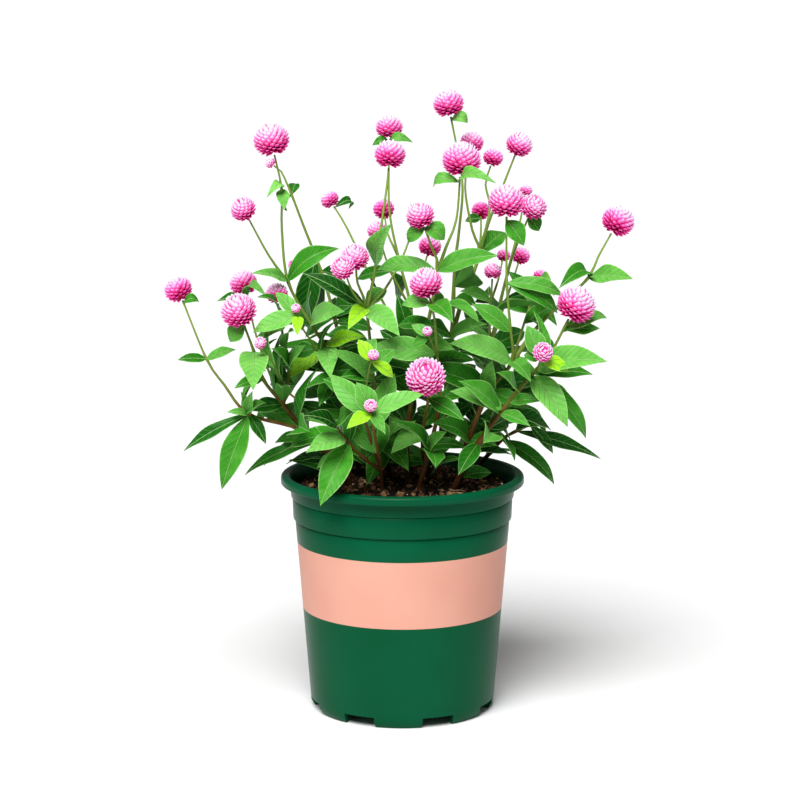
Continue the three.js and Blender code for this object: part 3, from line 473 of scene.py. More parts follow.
# A point is given as it is seen from the front: where its sight line crosses the plane through the
# pot's axis, across and up, and how far behind that plane it is. Each branch is given by its points,
# its radius at either end, and the diameter of the head that it may end in. A leaf is the place
# where it leaves the branch, counted in points, its tip across and up, its width, and its arch where
# that is its own. Pairs are spaced evenly between two such places: from, to, how many, and how long
# a leaf is.
STEMS = {
    1: [Branch([(-30, 136, -4), (-44, 174, -14), (-71, 197, -25), (-107, 208, -32), (-124, 229, -30),
            (-136, 247, -25), (-152, 288, -12)], (2.4, 0.9), head=20, pairs=(2, 2, 1, 48),
            leaves=[(3, -154, 182, 9), (3, -127, 154, 17), (3, -95, 187, 9), (3, -112, 224, 7),
            (3, -105, 224, 8), (3, -122, 210, 6), (3, -96, 217, 9), (5, -156, 247, 8, 0.1),
            (5, -116, 254, 9, 0.1), (5.95, -140.5, 287, 7, 1.1)])],
    2: [Branch([(-20, 136, 16), (-38, 166, 6), (-63, 190, -6), (-83, 215, -18), (-97, 233, -30),
            (-103, 252, -38), (-110, 271.5, -44)], (2.8, 1.1), head=25, pairs=(1, 2, 2, 46),
            leaves=[(2.4, -96, 205, 10, 0.3), (2, -90, 188, 9, 0.4), (1.9, -112, 165, 9, 0.3),
            (3, -107, 211, 12), (5, -104, 227, 20), (5.95, -120, 259, 13, 0.3), (4, -117, 227, 9),
            (3, -84, 229, 11), (1, -80, 176, 10)]),
        Branch([(-83, 215, -18), (-82, 224, -28), (-88, 240, -44), (-97, 255.5, -56)], (1.2, 0.8), head=9),
        Branch([(-83, 215, -18), (-79, 239, -20), (-84, 270, -17), (-86, 286, -15)], (1.3, 0.9), head=16,
            leaves=[(1, -90, 255, 12), (1, -68, 257, 12), (2, -96, 262, 12), (1.5, -76, 268, 12),
            (2.5, -99, 292, 9)]),
        Branch([(-83, 215, -18), (-92, 236, -4), (-101, 262, 8), (-108, 292, 15)], (1.3, 0.9), head=20,
            leaves=[(2.9, -128, 288, 8), (2.9, -94, 292, 9, 0.4)])],
    3: [Branch([(-12, 136, 4), (-15, 168, 3), (-33, 200, 1), (-49, 232, -2), (-54, 256, -4), (-63, 271, -6),
            (-79, 301, -10), (-83, 337, -14), (-83, 365, -17), (-87.7, 388.5, -20)], (2.8, 0.9), head=25,
            pairs=(1.4, 5, 3, 56), leaves=[(4, -26, 263, 13), (4, -79, 234, 14), (4, -50, 234, 15),
            (6, -103, 308, 9), (6, -43, 325, 15, 0.55), (8, -93.5, 359, 7, 0.9), (8, -81, 351, 9),
            (2, -67, 205, 16), (2, -77, 217, 12), (3, -58, 214, 12), (1, -62, 196, 13), (1, -46, 197, 13)]),
        Branch([(-79, 301, -10), (-92, 319, -18), (-106, 345, -28)], (1.3, 0.9), head=18),
        Branch([(-49, 232, -2), (-60, 254, -24), (-70, 270, -40), (-73, 280, -46)], (1.2, 0.8), head=7,
            leaves=[(2.7, -104, 266, 14), (2.7, -73, 264, 8), (2.6, -88, 294, 10), (1, -77, 250, 13)])],
    4: [Branch([(-24, 136, 34), (-34, 190, 38), (-40, 240, 44), (-47, 276, 50), (-56, 308, 51),
            (-68.5, 341, 47), (-76, 361, 43), (-83, 377, 40), (-88, 381, 38)], (2.4, 0.8), head=8,
            pairs=(1, 3, 3, 52), leaves=[(6, -80, 350, 8), (6, -73, 369, 8), (3.9, -62.5, 264, 22),
            (4, -40, 299, 13), (3, -28, 287, 13), (3, -24, 270, 14), (3, -68, 262, 13), (2, -71, 250, 15),
            (2, -58, 262, 13), (2, -34, 262, 13), (1, -58, 231, 13), (1, -50, 220, 13)]),
        Branch([(-56, 308, 51), (-67, 314, 64), (-74, 313, 72)], (1.1, 0.8), head=7),
        Branch([(-34, 190, 38), (-58, 206, 58), (-80, 224, 78)], (1.7, 1.1), pairs=(1, 1.9, 2, 40))],
    5: [Branch([(-10, 136, 18), (-9, 168, 12), (-17, 204, -8), (-20, 232, -18), (-25, 282, -28),
            (-31, 300, -34), (-32, 310, -37)], (2.6, 1), head=20, pairs=(1.6, 3, 2, 52),
            leaves=[(4, -69, 308, 13), (4, -38, 268, 12, 0.3), (4, -2, 264, 17), (2, -18, 176, 17),
            (1.4, -25, 158, 14), (3, -43, 235, 12), (2.5, -50, 225, 12), (3, -50, 254, 13),
            (1.5, -46, 205, 13)]),
        Branch([(-25, 282, -28), (-34, 293, -44), (-39, 305.5, -53)], (1.2, 0.9), head=17),
        Branch([(-25, 282, -28), (-20, 303, -22), (-15, 337, -14), (-11, 365, -8), (-9.5, 379.5, -5)],
            (1.5, 0.9), head=22, leaves=[(1.3, -9, 341, 16)]),
        Branch([(-25, 282, -28), (-12, 296, -10), (0, 318, 6), (9, 343, 18)], (1.2, 0.9), head=16)],
    6: [Branch([(2, 136, 32), (4, 200, 37), (6, 250, 43), (6, 282, 47), (-3, 319, 54), (-9, 352, 60),
            (-9, 399, 64)], (2.6, 0.9), head=20, pairs=(1, 2, 2, 47), leaves=[(5.92, -21, 395, 8, 0.9),
            (5.92, 7.5, 397, 8, 0.9), (2, 30, 266, 14), (2, -16, 268, 13), (1.5, -22, 250, 13),
            (1, 20, 186, 12), (1, -18, 212, 14)]),
        Branch([(-3, 319, 54), (-10, 334, 72), (-12, 346, 82)], (1.2, 0.9), head=16),
        Branch([(6, 282, 47), (-8, 308, 42), (-16, 331.5, 38)], (1.2, 0.9), head=14,
            leaves=[(1, -2, 287, 13), (1, -32, 303, 12)]),
        Branch([(6, 250, 43), (-18, 296, 60), (-38, 338, 72), (-47, 353, 76)], (1.3, 0.9), head=14,
            leaves=[(2.95, -36.5, 351.5, 7, 1)]),
        Branch([(6, 282, 47), (13, 305, 56), (17, 319, 61)], (1.2, 0.9), head=17),
        Branch([(4, 200, 37), (0, 222, 52), (-8, 242, 60)], (1.7, 1.1), pairs=(0.9, 1.95, 3, 40))],
    7: [Branch([(4, 136, -8), (4, 200, -12), (14, 254, -20), (24, 308, -27), (20, 325, -30),
            (15, 339, -33)], (2.6, 1), head=20, pairs=(1, 2.5, 3, 50), leaves=[(3, 66, 320, 16, 0.2),
            (3, -19, 310, 14, 0.3), (4.95, 3.5, 328, 11, 0.5), (4.95, 29, 330, 14, 0.5), (1, -8, 190, 12),
            (2, 36, 254, 13)]),
        Branch([(24, 308, -27), (30, 325, -26), (37, 344, -26), (39.5, 373.5, -25)], (1.5, 0.9), head=27,
            leaves=[(2.87, 20.5, 366.5, 9, 0.9), (2.84, 64.5, 369.5, 10, 0.6)])],
    8: [Branch([(22, 136, 28), (28, 200, 22), (34, 262, 17), (36, 310, 14), (39, 337, 14), (41, 371, 15),
            (33, 414.5, 16)], (2.6, 0.9), head=22, pairs=(1, 2.7, 3, 52), leaves=[(5.95, 45, 410, 9, 1),
            (2, 11, 271, 14), (2, 58, 272, 14), (2.5, 51, 285, 12), (1.5, 54, 234, 13), (1, 10, 214, 13),
            (1, 48, 216, 13)]),
        Branch([(34, 262, 17), (42, 290, 22), (53, 320, 31), (48, 337, 34), (43, 366, 36), (46.5, 390, 38)],
            (2, 0.9), head=17, leaves=[(2, 71, 336, 15)]),
        Branch([(53, 320, 31), (59, 341, 28), (70, 370, 22), (77, 388, 20)], (1.4, 0.9), head=19),
        Branch([(53, 320, 31), (54, 335, 50), (54, 346, 62)], (1.2, 0.9), head=14,
            leaves=[(1.9, 43, 343, 8)]),
        Branch([(53, 320, 31), (60, 351, 46), (57, 368, 52), (60.5, 381, 56)], (1.2, 0.9), head=15)],
    9: [Branch([(32, 136, 0), (46, 190, -10), (61, 225, -18), (76, 245, -22), (75, 266, -27),
            (72, 300, -34), (71.5, 346, -40)], (2.8, 0.9), head=25, pairs=(1, 2, 2, 52),
            leaves=[(3, 33, 259, 21), (3, 89, 232, 13), (5.95, 84, 326, 14), (5, 113, 291, 12, 0.3),
            (5, 109, 279, 13, 0.3), (2, 62, 246, 13), (2, 84, 212, 12), (1, 66, 186, 13)]),
        Branch([(76, 245, -22), (94, 270, -12), (113, 289, -4), (128.5, 304, 2), (135, 318.5, 5),
            (143.7, 334.5, 8)], (1.9, 0.9), head=23.5, leaves=[(3, 108, 297, 14, 0.5),
            (3, 158.5, 304, 15, 0.1)]),
        Branch([(76, 245, -22), (83, 268, -6), (88, 284, 8), (94, 300, 18)], (1.2, 0.9), head=12,
            leaves=[(2.9, 105, 292, 10, 0.4)])],
    10: [Branch([(38, 136, 38), (50, 200, 44), (62, 260, 48), (72, 305, 42), (80, 330, 26),
            (87.5, 347, 14)], (2.4, 0.9), head=19, pairs=(1, 1.6, 3, 50), leaves=[(4.95, 94, 336, 11),
            (2, 42, 281, 13), (2.5, 93, 286, 12, 0.3), (2.5, 105, 277, 16, 0.3), (1, 38, 238, 13),
            (1, 46, 180, 13), (1.5, 72, 236, 12)]),
        Branch([(72, 305, 42), (80, 338, 58), (84, 360, 66)], (1.2, 0.8), head=10),
        Branch([(62, 260, 48), (74, 295, 64), (80, 314, 74)], (1.3, 0.9), head=14),
        Branch([(50, 200, 44), (72, 212, 60), (92, 224, 70)], (1.7, 1.1), pairs=(0.9, 1.95, 3, 40))],
    11: [Branch([(28, 136, -16), (43, 170, -26), (60, 198, -32), (79, 223, -36), (89, 235, -38),
            (103, 252, -41), (115, 275, -44)], (2.8, 1.1), head=27, pairs=(1.9, 2.4, 2, 44),
            leaves=[(2.5, 33, 225, 15), (1.6, 39, 165, 13), (4, 116, 199, 18, 0.3), (4, 130, 190, 14, 0.4),
            (4.3, 141, 247, 22), (5.7, 137, 269, 11, 0), (2.7, 97, 218, 9), (2.4, 89, 200, 10),
            (3, 66, 238, 12)]),
        Branch([(89, 235, -38), (94, 241, -54), (96.5, 249, -68)], (1.3, 0.9), head=14,
            leaves=[(1.8, 86, 271, 14), (1.8, 84, 250, 10), (1.8, 116, 238, 11)])],
    12: [Branch([(44, 136, 44), (53, 170, 38), (62, 181, 30), (69, 190, 24), (79, 196, 18), (90, 201, 14)],
            (2.3, 1.2), leaves=[(3, 107, 158, 12, 0.4), (2.6, 47, 208, 14), (4, 140, 177, 10),
            (4, 96, 200, 9, 0.4), (4.9, 106, 180, 8)])],
    13: [Branch([(22, 136, 14), (20, 163, 8), (15, 178, -8), (14, 195, -28), (18, 219, -56),
            (17, 227.5, -66)], (2.3, 1.3), head=27, leaves=[(3, -8, 181, 15), (2.3, 46, 184, 10, 0.5),
            (4, 43, 204, 12), (1.7, -10, 174, 9), (1, 40, 178, 11)])],
    14: [Branch([(40, 136, 16), (50, 200, 6), (59, 254, -6), (61, 287, -9), (62, 303, -10)], (2.2, 0.9),
            head=12.5, pairs=(1, 2.7, 3, 52), leaves=[(3, 40, 295, 11), (3, 50, 287, 8), (1.7, 40, 260, 13),
            (1, 34, 196, 12), (1, 62, 188, 12)]),
        Branch([(61, 287, -9), (66, 302, 4), (69, 316, 16)], (1.1, 0.8), head=10)],
    15: [Branch([(6, 136, -28), (18, 180, -34), (26, 218, -38), (24, 250, -44), (22, 276, -50),
            (18.5, 290.5, -52)], (2.2, 1), head=23, pairs=(1, 3, 2, 46), leaves=[(4.6, -1, 285, 11, 0.3),
            (4.6, 35, 273, 14, 0.25), (2, 4, 240, 13), (1, -6, 204, 13), (1, 30, 196, 13)]),
        Branch([(24, 250, -44), (21, 256, -56), (18, 264.5, -64)], (1.2, 0.8), head=7,
            leaves=[(1.8, 6, 271, 8), (1.8, 7, 256, 8)])],
    16: [Branch([(-14, 136, -26), (-15, 168, -44), (-20, 196, -77), (-22, 212, -98)], (2, 1), head=9,
            leaves=[(2.8, -32, 231, 15), (2.8, 15, 223, 13), (2.8, -39, 198, 10), (2.8, -12, 194, 8)]),
        Branch([(-15, 168, -44), (-26, 205, -64), (-24, 236, -80), (-21, 247, -86)], (1.3, 0.8), head=8,
            leaves=[(2.8, -31, 261, 10), (2.8, -6, 234, 9)]),
        Branch([(-15, 168, -44), (-28, 178, -52), (-37, 187, -57), (-46, 200, -60)], (1.6, 1.1),
            leaves=[(2, -58, 143, 20), (2.3, -67, 182, 15), (2.9, -68, 208, 13), (2.9, -30, 214, 12),
            (1, -62, 200, 12)])],
}

# How the leaves are placed, by the rule that the solids follow too. Each stands clear of all that
# stands already: one with a given tip is bent towards the viewer or away, and one of a pair is
# turned round its stem or lifted, and left out where it finds no room.
UP = np.array((0, 0, 1.0))
FRAME_SIDE = np.array((0.3, 1, 0.1)) / np.linalg.norm((0.3, 1, 0.1))
(RIM_RADIUS, RIM_TOP), (RIM_INNER, _) = POT_RIM[-2:]
HEAD_GAP = 0.3  # between a stalk's end and its bloom
HEAD_FLAT = 0.86  # a bloom's height as a share of its width
HEAD_FOOT = 0.95  # how far down it reaches, as a share of half its height
BLADE_FOLD = 0.2  # how far the halves of a blade are folded up, as a share of their width
BLADE_ARCH = 0.15  # how far the bow of its spine stands off, as a share of its length
BLADE_SLIM = 0.36  # its width as a share of its length
BLADE_FACE = 0.62  # how much its upper face looks outwards, and for the rest up
SOLID_OUTLINE = (0.95, 1.1)  # how early a blade is broadest, and how slender its ends are
BROAD_BLADE = 14  # narrower blades are bent less than the depths below
TURNS_AWAY = 20  # the depth past which a blade points away from the viewer
SAMPLE_ROWS = 4.5  # how far apart the points that stand for a blade are along it
FIVE_ABREAST = 11  # the width past which there are five points across it, and not three
CLEAR_OWN = 1.8  # the room that a leaf keeps to its own stem, to others, and to the pot and soil
CLEAR_OTHER = 3.2
CLEAR_POT = 2.2
CLEAR_ROOT = 0.3  # the share of a blade, at its base, that may be near its own stem
# The bends in depth, the turns and the lifts are tried in this order.
DEPTH_SHIFTS = [0, -6, 6, -12, 12, -19, 19, -27, 27, -36, 36]
TURNS = [0, 18, -18, 36, -36, 54, -54]
LIFTS = [0.3, 0.55, 0.05, -0.2]
HANG = 0.15  # how much a leaf of a pair hangs by its weight


def unit(vector):
    """A direction at length 1."""
    return vector / np.linalg.norm(vector)


def square(direction, axis):
    """The part of a direction that stands square to an axis, at length 1."""
    return unit(direction - axis * (direction @ axis))


def aside(axis):
    """Two directions square to an axis and to each other."""
    side = square(FRAME_SIDE, axis)
    return side, np.cross(axis, side)


def outline(t, early, slender):
    """Half the width of a leaf of width 1 at places t along it."""
    return np.sin(np.pi * t.clip(0, 1) ** early).clip(0) ** slender / 2


class Leaf:
    """A leaf from its base and tip, its width, and the way that its upper face looks."""

    def __init__(self, base, tip, width, outward, arch=BLADE_ARCH):
        chord = tip - base
        self.length, self.width, self.base, self.tip = np.linalg.norm(chord), width, base, tip
        ahead = chord / self.length
        normal = square(UP * (1 - BLADE_FACE) + outward * BLADE_FACE, ahead)
        self.bow = (base + tip) / 2 + normal * arch * self.length
        self.side = np.cross(normal, ahead)

    def spine(self, t):
        """The points of its midrib at places t."""
        t = t[:, None]
        return (1 - t) ** 2 * self.base + 2 * (1 - t) * t * self.bow + t ** 2 * self.tip

    def face(self, t):
        """The way that the blade looks at places t."""
        return np.cross(way_along(self.spine, t), self.side)

    def samples(self):
        """Points all over the blade, row by row from its base, and how many are near its root."""
        rows = max(4, math.ceil(self.length / SAMPLE_ROWS))
        columns = (-1, -0.5, 0, 0.5, 1) if self.width > FIVE_ABREAST else (-0.9, 0, 0.9)
        t = np.repeat(np.arange(1, rows + 1) / rows, len(columns))
        across = np.tile(columns, rows)
        half = (outline(t, *SOLID_OUTLINE) * self.width)[:, None]
        points = (self.spine(t) + self.side * across[:, None] * half
                  + self.face(t) * np.abs(across)[:, None] * half * BLADE_FOLD)
        return points, math.ceil(rows * CLEAR_ROOT) * len(columns)


class Crowd:
    """What stands already, as clouds of points, and the room that it leaves for a new blade."""

    def __init__(self):
        self.things = []

    def stand(self, owner, points, radius):
        """Adds something that stands."""
        centre = (points.min(0) + points.max(0)) / 2
        reach = np.linalg.norm(points - centre, axis=1).max() + radius
        self.things.append((owner, points, radius, centre, reach))

    def room(self, leaf, owner):
        """How much room a leaf has beyond what is asked, below 0 where it has too little."""
        samples, rooted = leaf.samples()
        out = np.hypot(samples[:, 0], samples[:, 1])
        inside = out < RIM_INNER - CLEAR_POT
        outside = np.maximum(out - RIM_RADIUS, samples[:, 2] - RIM_TOP)
        least = np.where(inside, samples[:, 2] - SOIL_CROWN, outside).min() - CLEAR_POT
        middle = (samples.min(0) + samples.max(0)) / 2
        spread = np.linalg.norm(samples - middle, axis=1).max()
        for whose, points, radius, centre, reach in self.things:
            asked = CLEAR_OWN if whose == owner else CLEAR_OTHER
            if np.linalg.norm(centre - middle) - reach - spread > asked:
                continue
            near = samples[rooted:] if whose == owner else samples
            apart = np.linalg.norm(near[:, None] - points[None], axis=2).min()
            least = min(least, apart - radius - asked)
        return least

    def best(self, choices, owner):
        """The first of some leaves that stands clear, or else the one with the most room."""
        found = None
        for leaf in choices:
            room = self.room(leaf, owner)
            if found is None or room > found[1]:
                found = leaf, room
            if room >= 0:
                break
        return found


def seen_leaf(branch, owner, place, across, up, width, arch=BLADE_ARCH, toward=0):
    """A leaf whose tip shows at a place in view, bent in depth until it stands clear."""
    base, _ = branch.at(place / branch.last)
    in_sight = np.linalg.norm(seen(across, up, base[1]) - base)
    toward = toward or (-1 if base[1] < TURNS_AWAY else 1)
    wanted = math.sqrt(max(0, (width / BLADE_SLIM) ** 2 - in_sight ** 2))
    bend = min(1, width / BROAD_BLADE)
    choices = []
    for shift in DEPTH_SHIFTS:
        tip = seen(across, up, base[1] + toward * wanted + shift * bend)
        choices.append(Leaf(base, tip, width, unit(EYE - tip), arch))
    return crowd.best(choices, owner)[0]


def pair_leaf(branch, owner, place, angle, length):
    """One leaf of an opposite pair at an angle round its stem, and the room that it has."""
    base, along = branch.at(place / branch.last)
    side, front = aside(along)
    choices = []
    for lift, turn in itertools.product(LIFTS, TURNS):
        angled = math.radians(angle + turn)
        way = unit(side * math.cos(angled) + front * math.sin(angled) + along * lift - UP * HANG)
        tip = base + way * length
        choices.append(Leaf(base, tip, length * BLADE_SLIM, unit(tip * (1, 1, 0))))
    return crowd.best(choices, owner)


def pair(branch, owner, place, angle, sway, length, spread):
    """The two leaves of an opposite pair, drawn at random, the second when the first stands."""
    for twin in range(2):
        seed = next(seeds)
        angled = angle + twin * 180 + sway * draw(seed)
        yield pair_leaf(branch, owner, place, angled, length * drawn(spread, seed + 500))


plants = list(STEMS.values())
all_branches = [(owner, branch) for owner, branches in enumerate(plants) for branch in branches]
crowd = Crowd()
heads = []
for owner, branch in all_branches:
    crowd.stand(owner, branch.line(branch.stations(3) / branch.last), branch.radius(0.5))
    if branch.head:
        end, axis = branch.at(1)
        radius = branch.head / 2
        centre = end + axis * (HEAD_GAP + radius * HEAD_FLAT * HEAD_FOOT)
        heads.append((axis, radius, centre))
        crowd.stand(None, centre[None], radius * 0.9)

# The tone of a leaf goes from 0, dark green as painted shade, by way of pale, to 1, young and lime
# green. Most follow from their place, and these few are set by stem and by their count along it;
# those at 0.1 are painted shade.
TONES = {0.9: [(3, 0), (3, 1), (3, 13), (5, 1), (11, 11), (16, 2), (16, 4), (16, 5)],
         0.68: [(2, 4), (3, 2), (3, 12), (5, 2), (9, 0), (11, 0), (11, 2), (13, 0), (16, 1)],
         0.1: [(4, 2), (5, 0), (16, 8)]}
TONE = (0.3, 0.26)
# Painted shade: a leaf's tone falls the further back it stands, and rises the higher it stands, partly as
# painted light and partly as the lime of younger leaves.
PAINTED_SHADE_BEHIND = 0.002  # how much it falls for each millimetre further back
TONE_HEIGHT = 250
PAINTED_LIGHT_AND_YOUTH_ABOVE = 0.0012  # how much it rises for each millimetre above this height
leaves = [[] for _ in plants]


def grown(owner, leaf):
    """Adds a leaf to its stem, with its tone: darker further back and lower down, as painted shade."""
    count = len(leaves[owner])
    _, back, up = leaf.tip
    shade = drawn(TONE, owner * 17 + count) - PAINTED_SHADE_BEHIND * back + PAINTED_LIGHT_AND_YOUTH_ABOVE * (up - TONE_HEIGHT)
    for tone, those in TONES.items():
        if (owner + 1, count) in those:
            shade = tone
    leaves[owner].append((leaf, min(max(shade, 0.04), 1)))
    crowd.stand(owner, leaf.samples()[0], 0)


for owner, branch in all_branches:
    for spec in branch.leaves:
        grown(owner, seen_leaf(branch, owner, *spec))

seeds = itertools.count(2)
for owner, branch in all_branches:
    start, end, count, length = branch.pairs
    for k in range(count):
        place = start + (end - start) * k / (count - 1) if count > 1 else start
        for leaf, room in pair(branch, owner, place, k * 90, 40, length, (0.85, 0.25)):
            if room >= 0:
                grown(owner, leaf)

# Leaves further back show in the gaps between these: the stem and its branch, and then the leaf.
SEEN_BEHIND = [(4, 0, 4.3, -70, 266, 17), (4, 0, 2.9, -20, 268, 13), (5, 0, 3.5, -54, 264, 13),
               (5, 0, 4, -12, 297, 12), (6, 0, 2.2, -4, 293, 13), (15, 0, 3.7, -4, 271, 13),
               (9, 0, 4, 48, 286, 14), (9, 2, 1.2, 106, 284, 13), (10, 0, 2.3, 44, 275, 14),
               (11, 0, 4.1, 133, 237, 12), (11, 0, 5.6, 143, 277, 11, 0.3), (10, 0, 3.1, 108, 270, 13)]
for stem_count, branch_count, *spec in SEEN_BEHIND:
    owner = stem_count - 1
    grown(owner, seen_leaf(plants[owner][branch_count], owner, *spec, toward=1))

# Smaller leaves fill the bush behind these wherever they find room low down.
INFILL_SPACING = 0.6  # how far apart along a branch, counted in its points
INFILL_LENGTH = 36
INFILL_TURN = 150  # how far round the branch from one pair to the one a point further
INFILL_TOP = 262
INFILL_REACH = 105
INFILL_TIGHT = -0.8  # the room that is still enough for one
for owner, branch in all_branches:
    for place in np.arange(0.8, branch.last - 0.3, INFILL_SPACING):
        if branch.at(place / branch.last)[0][2] > INFILL_TOP:
            break
        for leaf, room in pair(branch, owner, place, place * INFILL_TURN, 60, INFILL_LENGTH, (0.75, 0.5)):
            behind = leaf.tip[1] > leaf.base[1] and math.hypot(*leaf.tip[:2]) < INFILL_REACH
            if room >= INFILL_TIGHT and behind:
                grown(owner, leaf)

# The blades: thin and soft, folded along the midrib like a gutter with rounded halves, arched, with
# waved edges and a tip that curls down. Sizes are shares of a leaf's length, and the random ones are
# given as the least and how much more they may be.
BLADE_OUTLINE = (0.88, 1.05)
BLADE_THICK = 0.4  # millimetres
LARGE_BLADE = 24  # the length past which a leaf has the finer mesh
FOLDED = (1.1, 1.1)  # how far it is folded, counted in the fold of its solid
WAVE_HEIGHT = 0.03
WAVES = 10  # how fast the waves run, in radians along a leaf
WAVE_START = (0, 6.3)
WAVE_APART = 1.7  # how far the waves of one edge run ahead of the other's
CURL = (0.1, 0.16)
CURL_START = 0.55
SHARP_EDGE = 60  # degrees, past which two faces of a blade meet in a sharp edge


def blade_pattern(name, columns, rows):
    """A leaf as flat as a pattern: x across it from -1 to 1, y along it from 0 to 1, z through it."""
    blade = bmesh.new()
    bmesh.ops.create_grid(blade, x_segments=columns, y_segments=rows, size=1)
    for end in (-1, 1):
        row = [v for v in blade.verts if abs(v.co.y - end) < 1e-6]
        bmesh.ops.pointmerge(blade, verts=row, merge_co=(0, end, 0))
    bmesh.ops.solidify(blade, geom=blade.faces[:], thickness=-1)
    bmesh.ops.recalc_face_normals(blade, faces=blade.faces)
    for edge in blade.edges:
        edge.smooth = edge.calc_face_angle(0) < math.radians(SHARP_EDGE)
    bmesh.ops.transform(blade, matrix=Matrix.Translation((0, 0.5, 0)) @ Matrix.Diagonal((1, 0.5, 1, 1)),
                        verts=blade.verts)
    return as_pattern(blade, name, {"blade": "FLOAT_VECTOR", "tone": "FLOAT", "under": "FLOAT"}, 1)


large_blade = blade_pattern("large_blade", 8, 14)
small_blade = blade_pattern("small_blade", 4, 7)


def cast_leaf(built, leaf, tone, seed):
    """Adds a leaf to a stem, with the places over its blade in millimetres and its tone."""
    pattern, points = large_blade if leaf.length > LARGE_BLADE else small_blade
    across, t, through = points.T
    through = through - through.min() - 0.5
    half = outline(t, *BLADE_OUTLINE) * leaf.width
    rounded = 1.45 * np.abs(across) - 0.5 * across ** 2
    run = WAVES * t + drawn(WAVE_START, seed + 40) + WAVE_APART * np.sign(across)
    wave = np.sin(run) * across ** 2 * WAVE_HEIGHT * leaf.length * (1 - t) ** 0.4 * np.sin(np.pi * t)
    curl = drawn(CURL, seed + 80) * leaf.length * (t - CURL_START).clip(0) ** 2
    lift = rounded * half * BLADE_FOLD * drawn(FOLDED, seed + 60) + wave - curl + through * BLADE_THICK
    corners = leaf.spine(t) + leaf.side * (across * half)[:, None] + leaf.face(t) * lift[:, None]
    blade = np.stack((across * half, t * leaf.length, np.abs(across)), axis=1)
    cast(built, pattern, corners, blade=blade, tone=tone, under=through < 0)


# The stems' tubes are slimmer than their solids towards the end, and swollen at their joints.
STEM_STEP = 7  # how far apart the rings of a tube are
STEM_SLIMMED = (1.08, 0.36)  # the share of the solid's radius at the foot, and how much less above
SWELLING = 0.35
SWOLLEN = 0.14  # how far a swelling reaches, counted in the points of its branch
THICK_STEM = 1.6  # the radius past which a tube has eight sides, and not six


def laid(side, front, along, at):
    """The matrix that lays x, y and z along three directions, from a place."""
    return Matrix(np.column_stack((side, front, along, at)).tolist() + [(0, 0, 0, 1)])


def cast_branch(built, branch):
    """Adds a branch to a stem."""
    places = []
    for station in branch.stations(STEM_STEP):
        t = station / branch.last
        at, along = branch.at(t)
        side, front = aside(along)
        near = min((abs(station - leaf[0]) for leaf in branch.leaves), default=1)
        swollen = 1 + SWELLING * max(0, 1 - near / SWOLLEN)
        radius = branch.radius(t) * (STEM_SLIMMED[0] - STEM_SLIMMED[1] * t ** 0.5) * swollen
        places.append(laid(side * radius, front * radius, along, at))
    tube(built, 8 if branch.radius(0) > THICK_STEM else 6, places)


# Green stem skin: a waxy, finely haired rind, olive to leaf green, that turns in blotches to thin
# red-brown bark below.
BARK_TO_GREEN = (0.17, 0.34)  # the heights between which it turns, in metres
rind, tree = new_material("green and woody stem rind")
height = add(tree, "SeparateXYZ", {0: add(tree, "TexCoord").outputs["Object"]}).outputs["Z"]
age = scaled(tree, spots(tree, 9, 3), 0.4, ranged(tree, height, *BARK_TO_GREEN))
skin = coloured(tree, age, (0.16, "#3f2213"), (0.42, "#69461f"), (0.6, "#66752c"), (1.0, "#77963c"))
hairs = add(tree, "Bump", {"Height": spots(tree, 0.8), "Strength": 0.4, "Distance": 0.15 * MM})
surface(tree, {"Base Color": skin, "Roughness": 0.5, "Normal": hairs, "Specular IOR Level": 0.15})


def carried(tree, name):
    """The three values of an attribute of the mesh."""
    values = add(tree, "Attribute", attribute_name=name).outputs["Vector"]
    return add(tree, "SeparateXYZ", {0: values}).outputs


def laid_over(tree, share, below, colour):
    """A colour laid over another, where the share is 1."""
    return add(tree, "Mix", {0: share, 6: below, 7: linear(colour)}, data_type="RGBA").outputs[2]


# A living leaf: satin above and matt below, with light passing through it, a thin pale midrib, faint
# side veins that slant to the tip and quilt the blade a little, and a hair-fine pale edge, the pale
# hairy margin brightened further as painted rim light.
VEIN_SPACING = 5.5
VEIN_SLANT = 1.35
blade_green, tree = new_material("soft haired leaf blade")
off_rib, along_blade, edge = carried(tree, "blade")
off_rib = add(tree, "Math", {0: off_rib}, operation="ABSOLUTE")
rib = ranged(tree, off_rib, 0.12, 0.45, 1, 0, interpolation_type="SMOOTHSTEP")
slant = scaled(tree, off_rib, -VEIN_SLANT, along_blade)
from_vein = add(tree, "Math", {0: slant, 1: VEIN_SPACING / 2}, operation="PINGPONG")
vein = ranged(tree, from_vein, 0.05, 0.7, 1, 0, interpolation_type="SMOOTHSTEP")
# The tone darkens the green towards its low end, as painted shade on leaves further back, lower down, and
# on the few set to 0.1.
tone = add(tree, "Attribute", attribute_name="tone").outputs["Fac"]
under = add(tree, "Attribute", attribute_name="under").outputs["Fac"]
green = coloured(tree, scaled(tree, spots(tree, 9, 3), 0.2, tone),
                 (0.1, "#043804"), (0.4, "#145f0c"), (0.6, "#348818"), (0.85, "#7cc45a"), (1.0, "#98da1e"))
veined = laid_over(tree, scaled(tree, vein, 0.14), green, "#9cd878")
ribbed = laid_over(tree, scaled(tree, rib, 0.48), veined, "#a8da84")
# The pale edge is partly the hairy margin and partly painted rim light.
edge_and_painted_rim_light = laid_over(tree, ranged(tree, edge, 0.9, 1, 0, 0.55), ribbed, "#b8e890")
both = laid_over(tree, scaled(tree, under, 0.6), edge_and_painted_rim_light, "#55963c")
relief = add(tree, "Bump", {"Height": scaled(tree, vein, 0.5, rib), "Strength": 0.9, "Distance": 0.8 * MM},
             invert=True)
down = add(tree, "Bump", {"Height": spots(tree, 0.9), "Strength": 0.35, "Distance": 0.15 * MM,
                          "Normal": relief})
surface(tree, {"Base Color": both, "Roughness": ranged(tree, under, 0, 1, 0.42, 0.7), "Normal": down,
               "Specular IOR Level": 0.14, "Subsurface Weight": 0.15, "Subsurface Scale": 0.6 * MM,
               "Subsurface Radius": (0.4, 1.0, 0.15)})

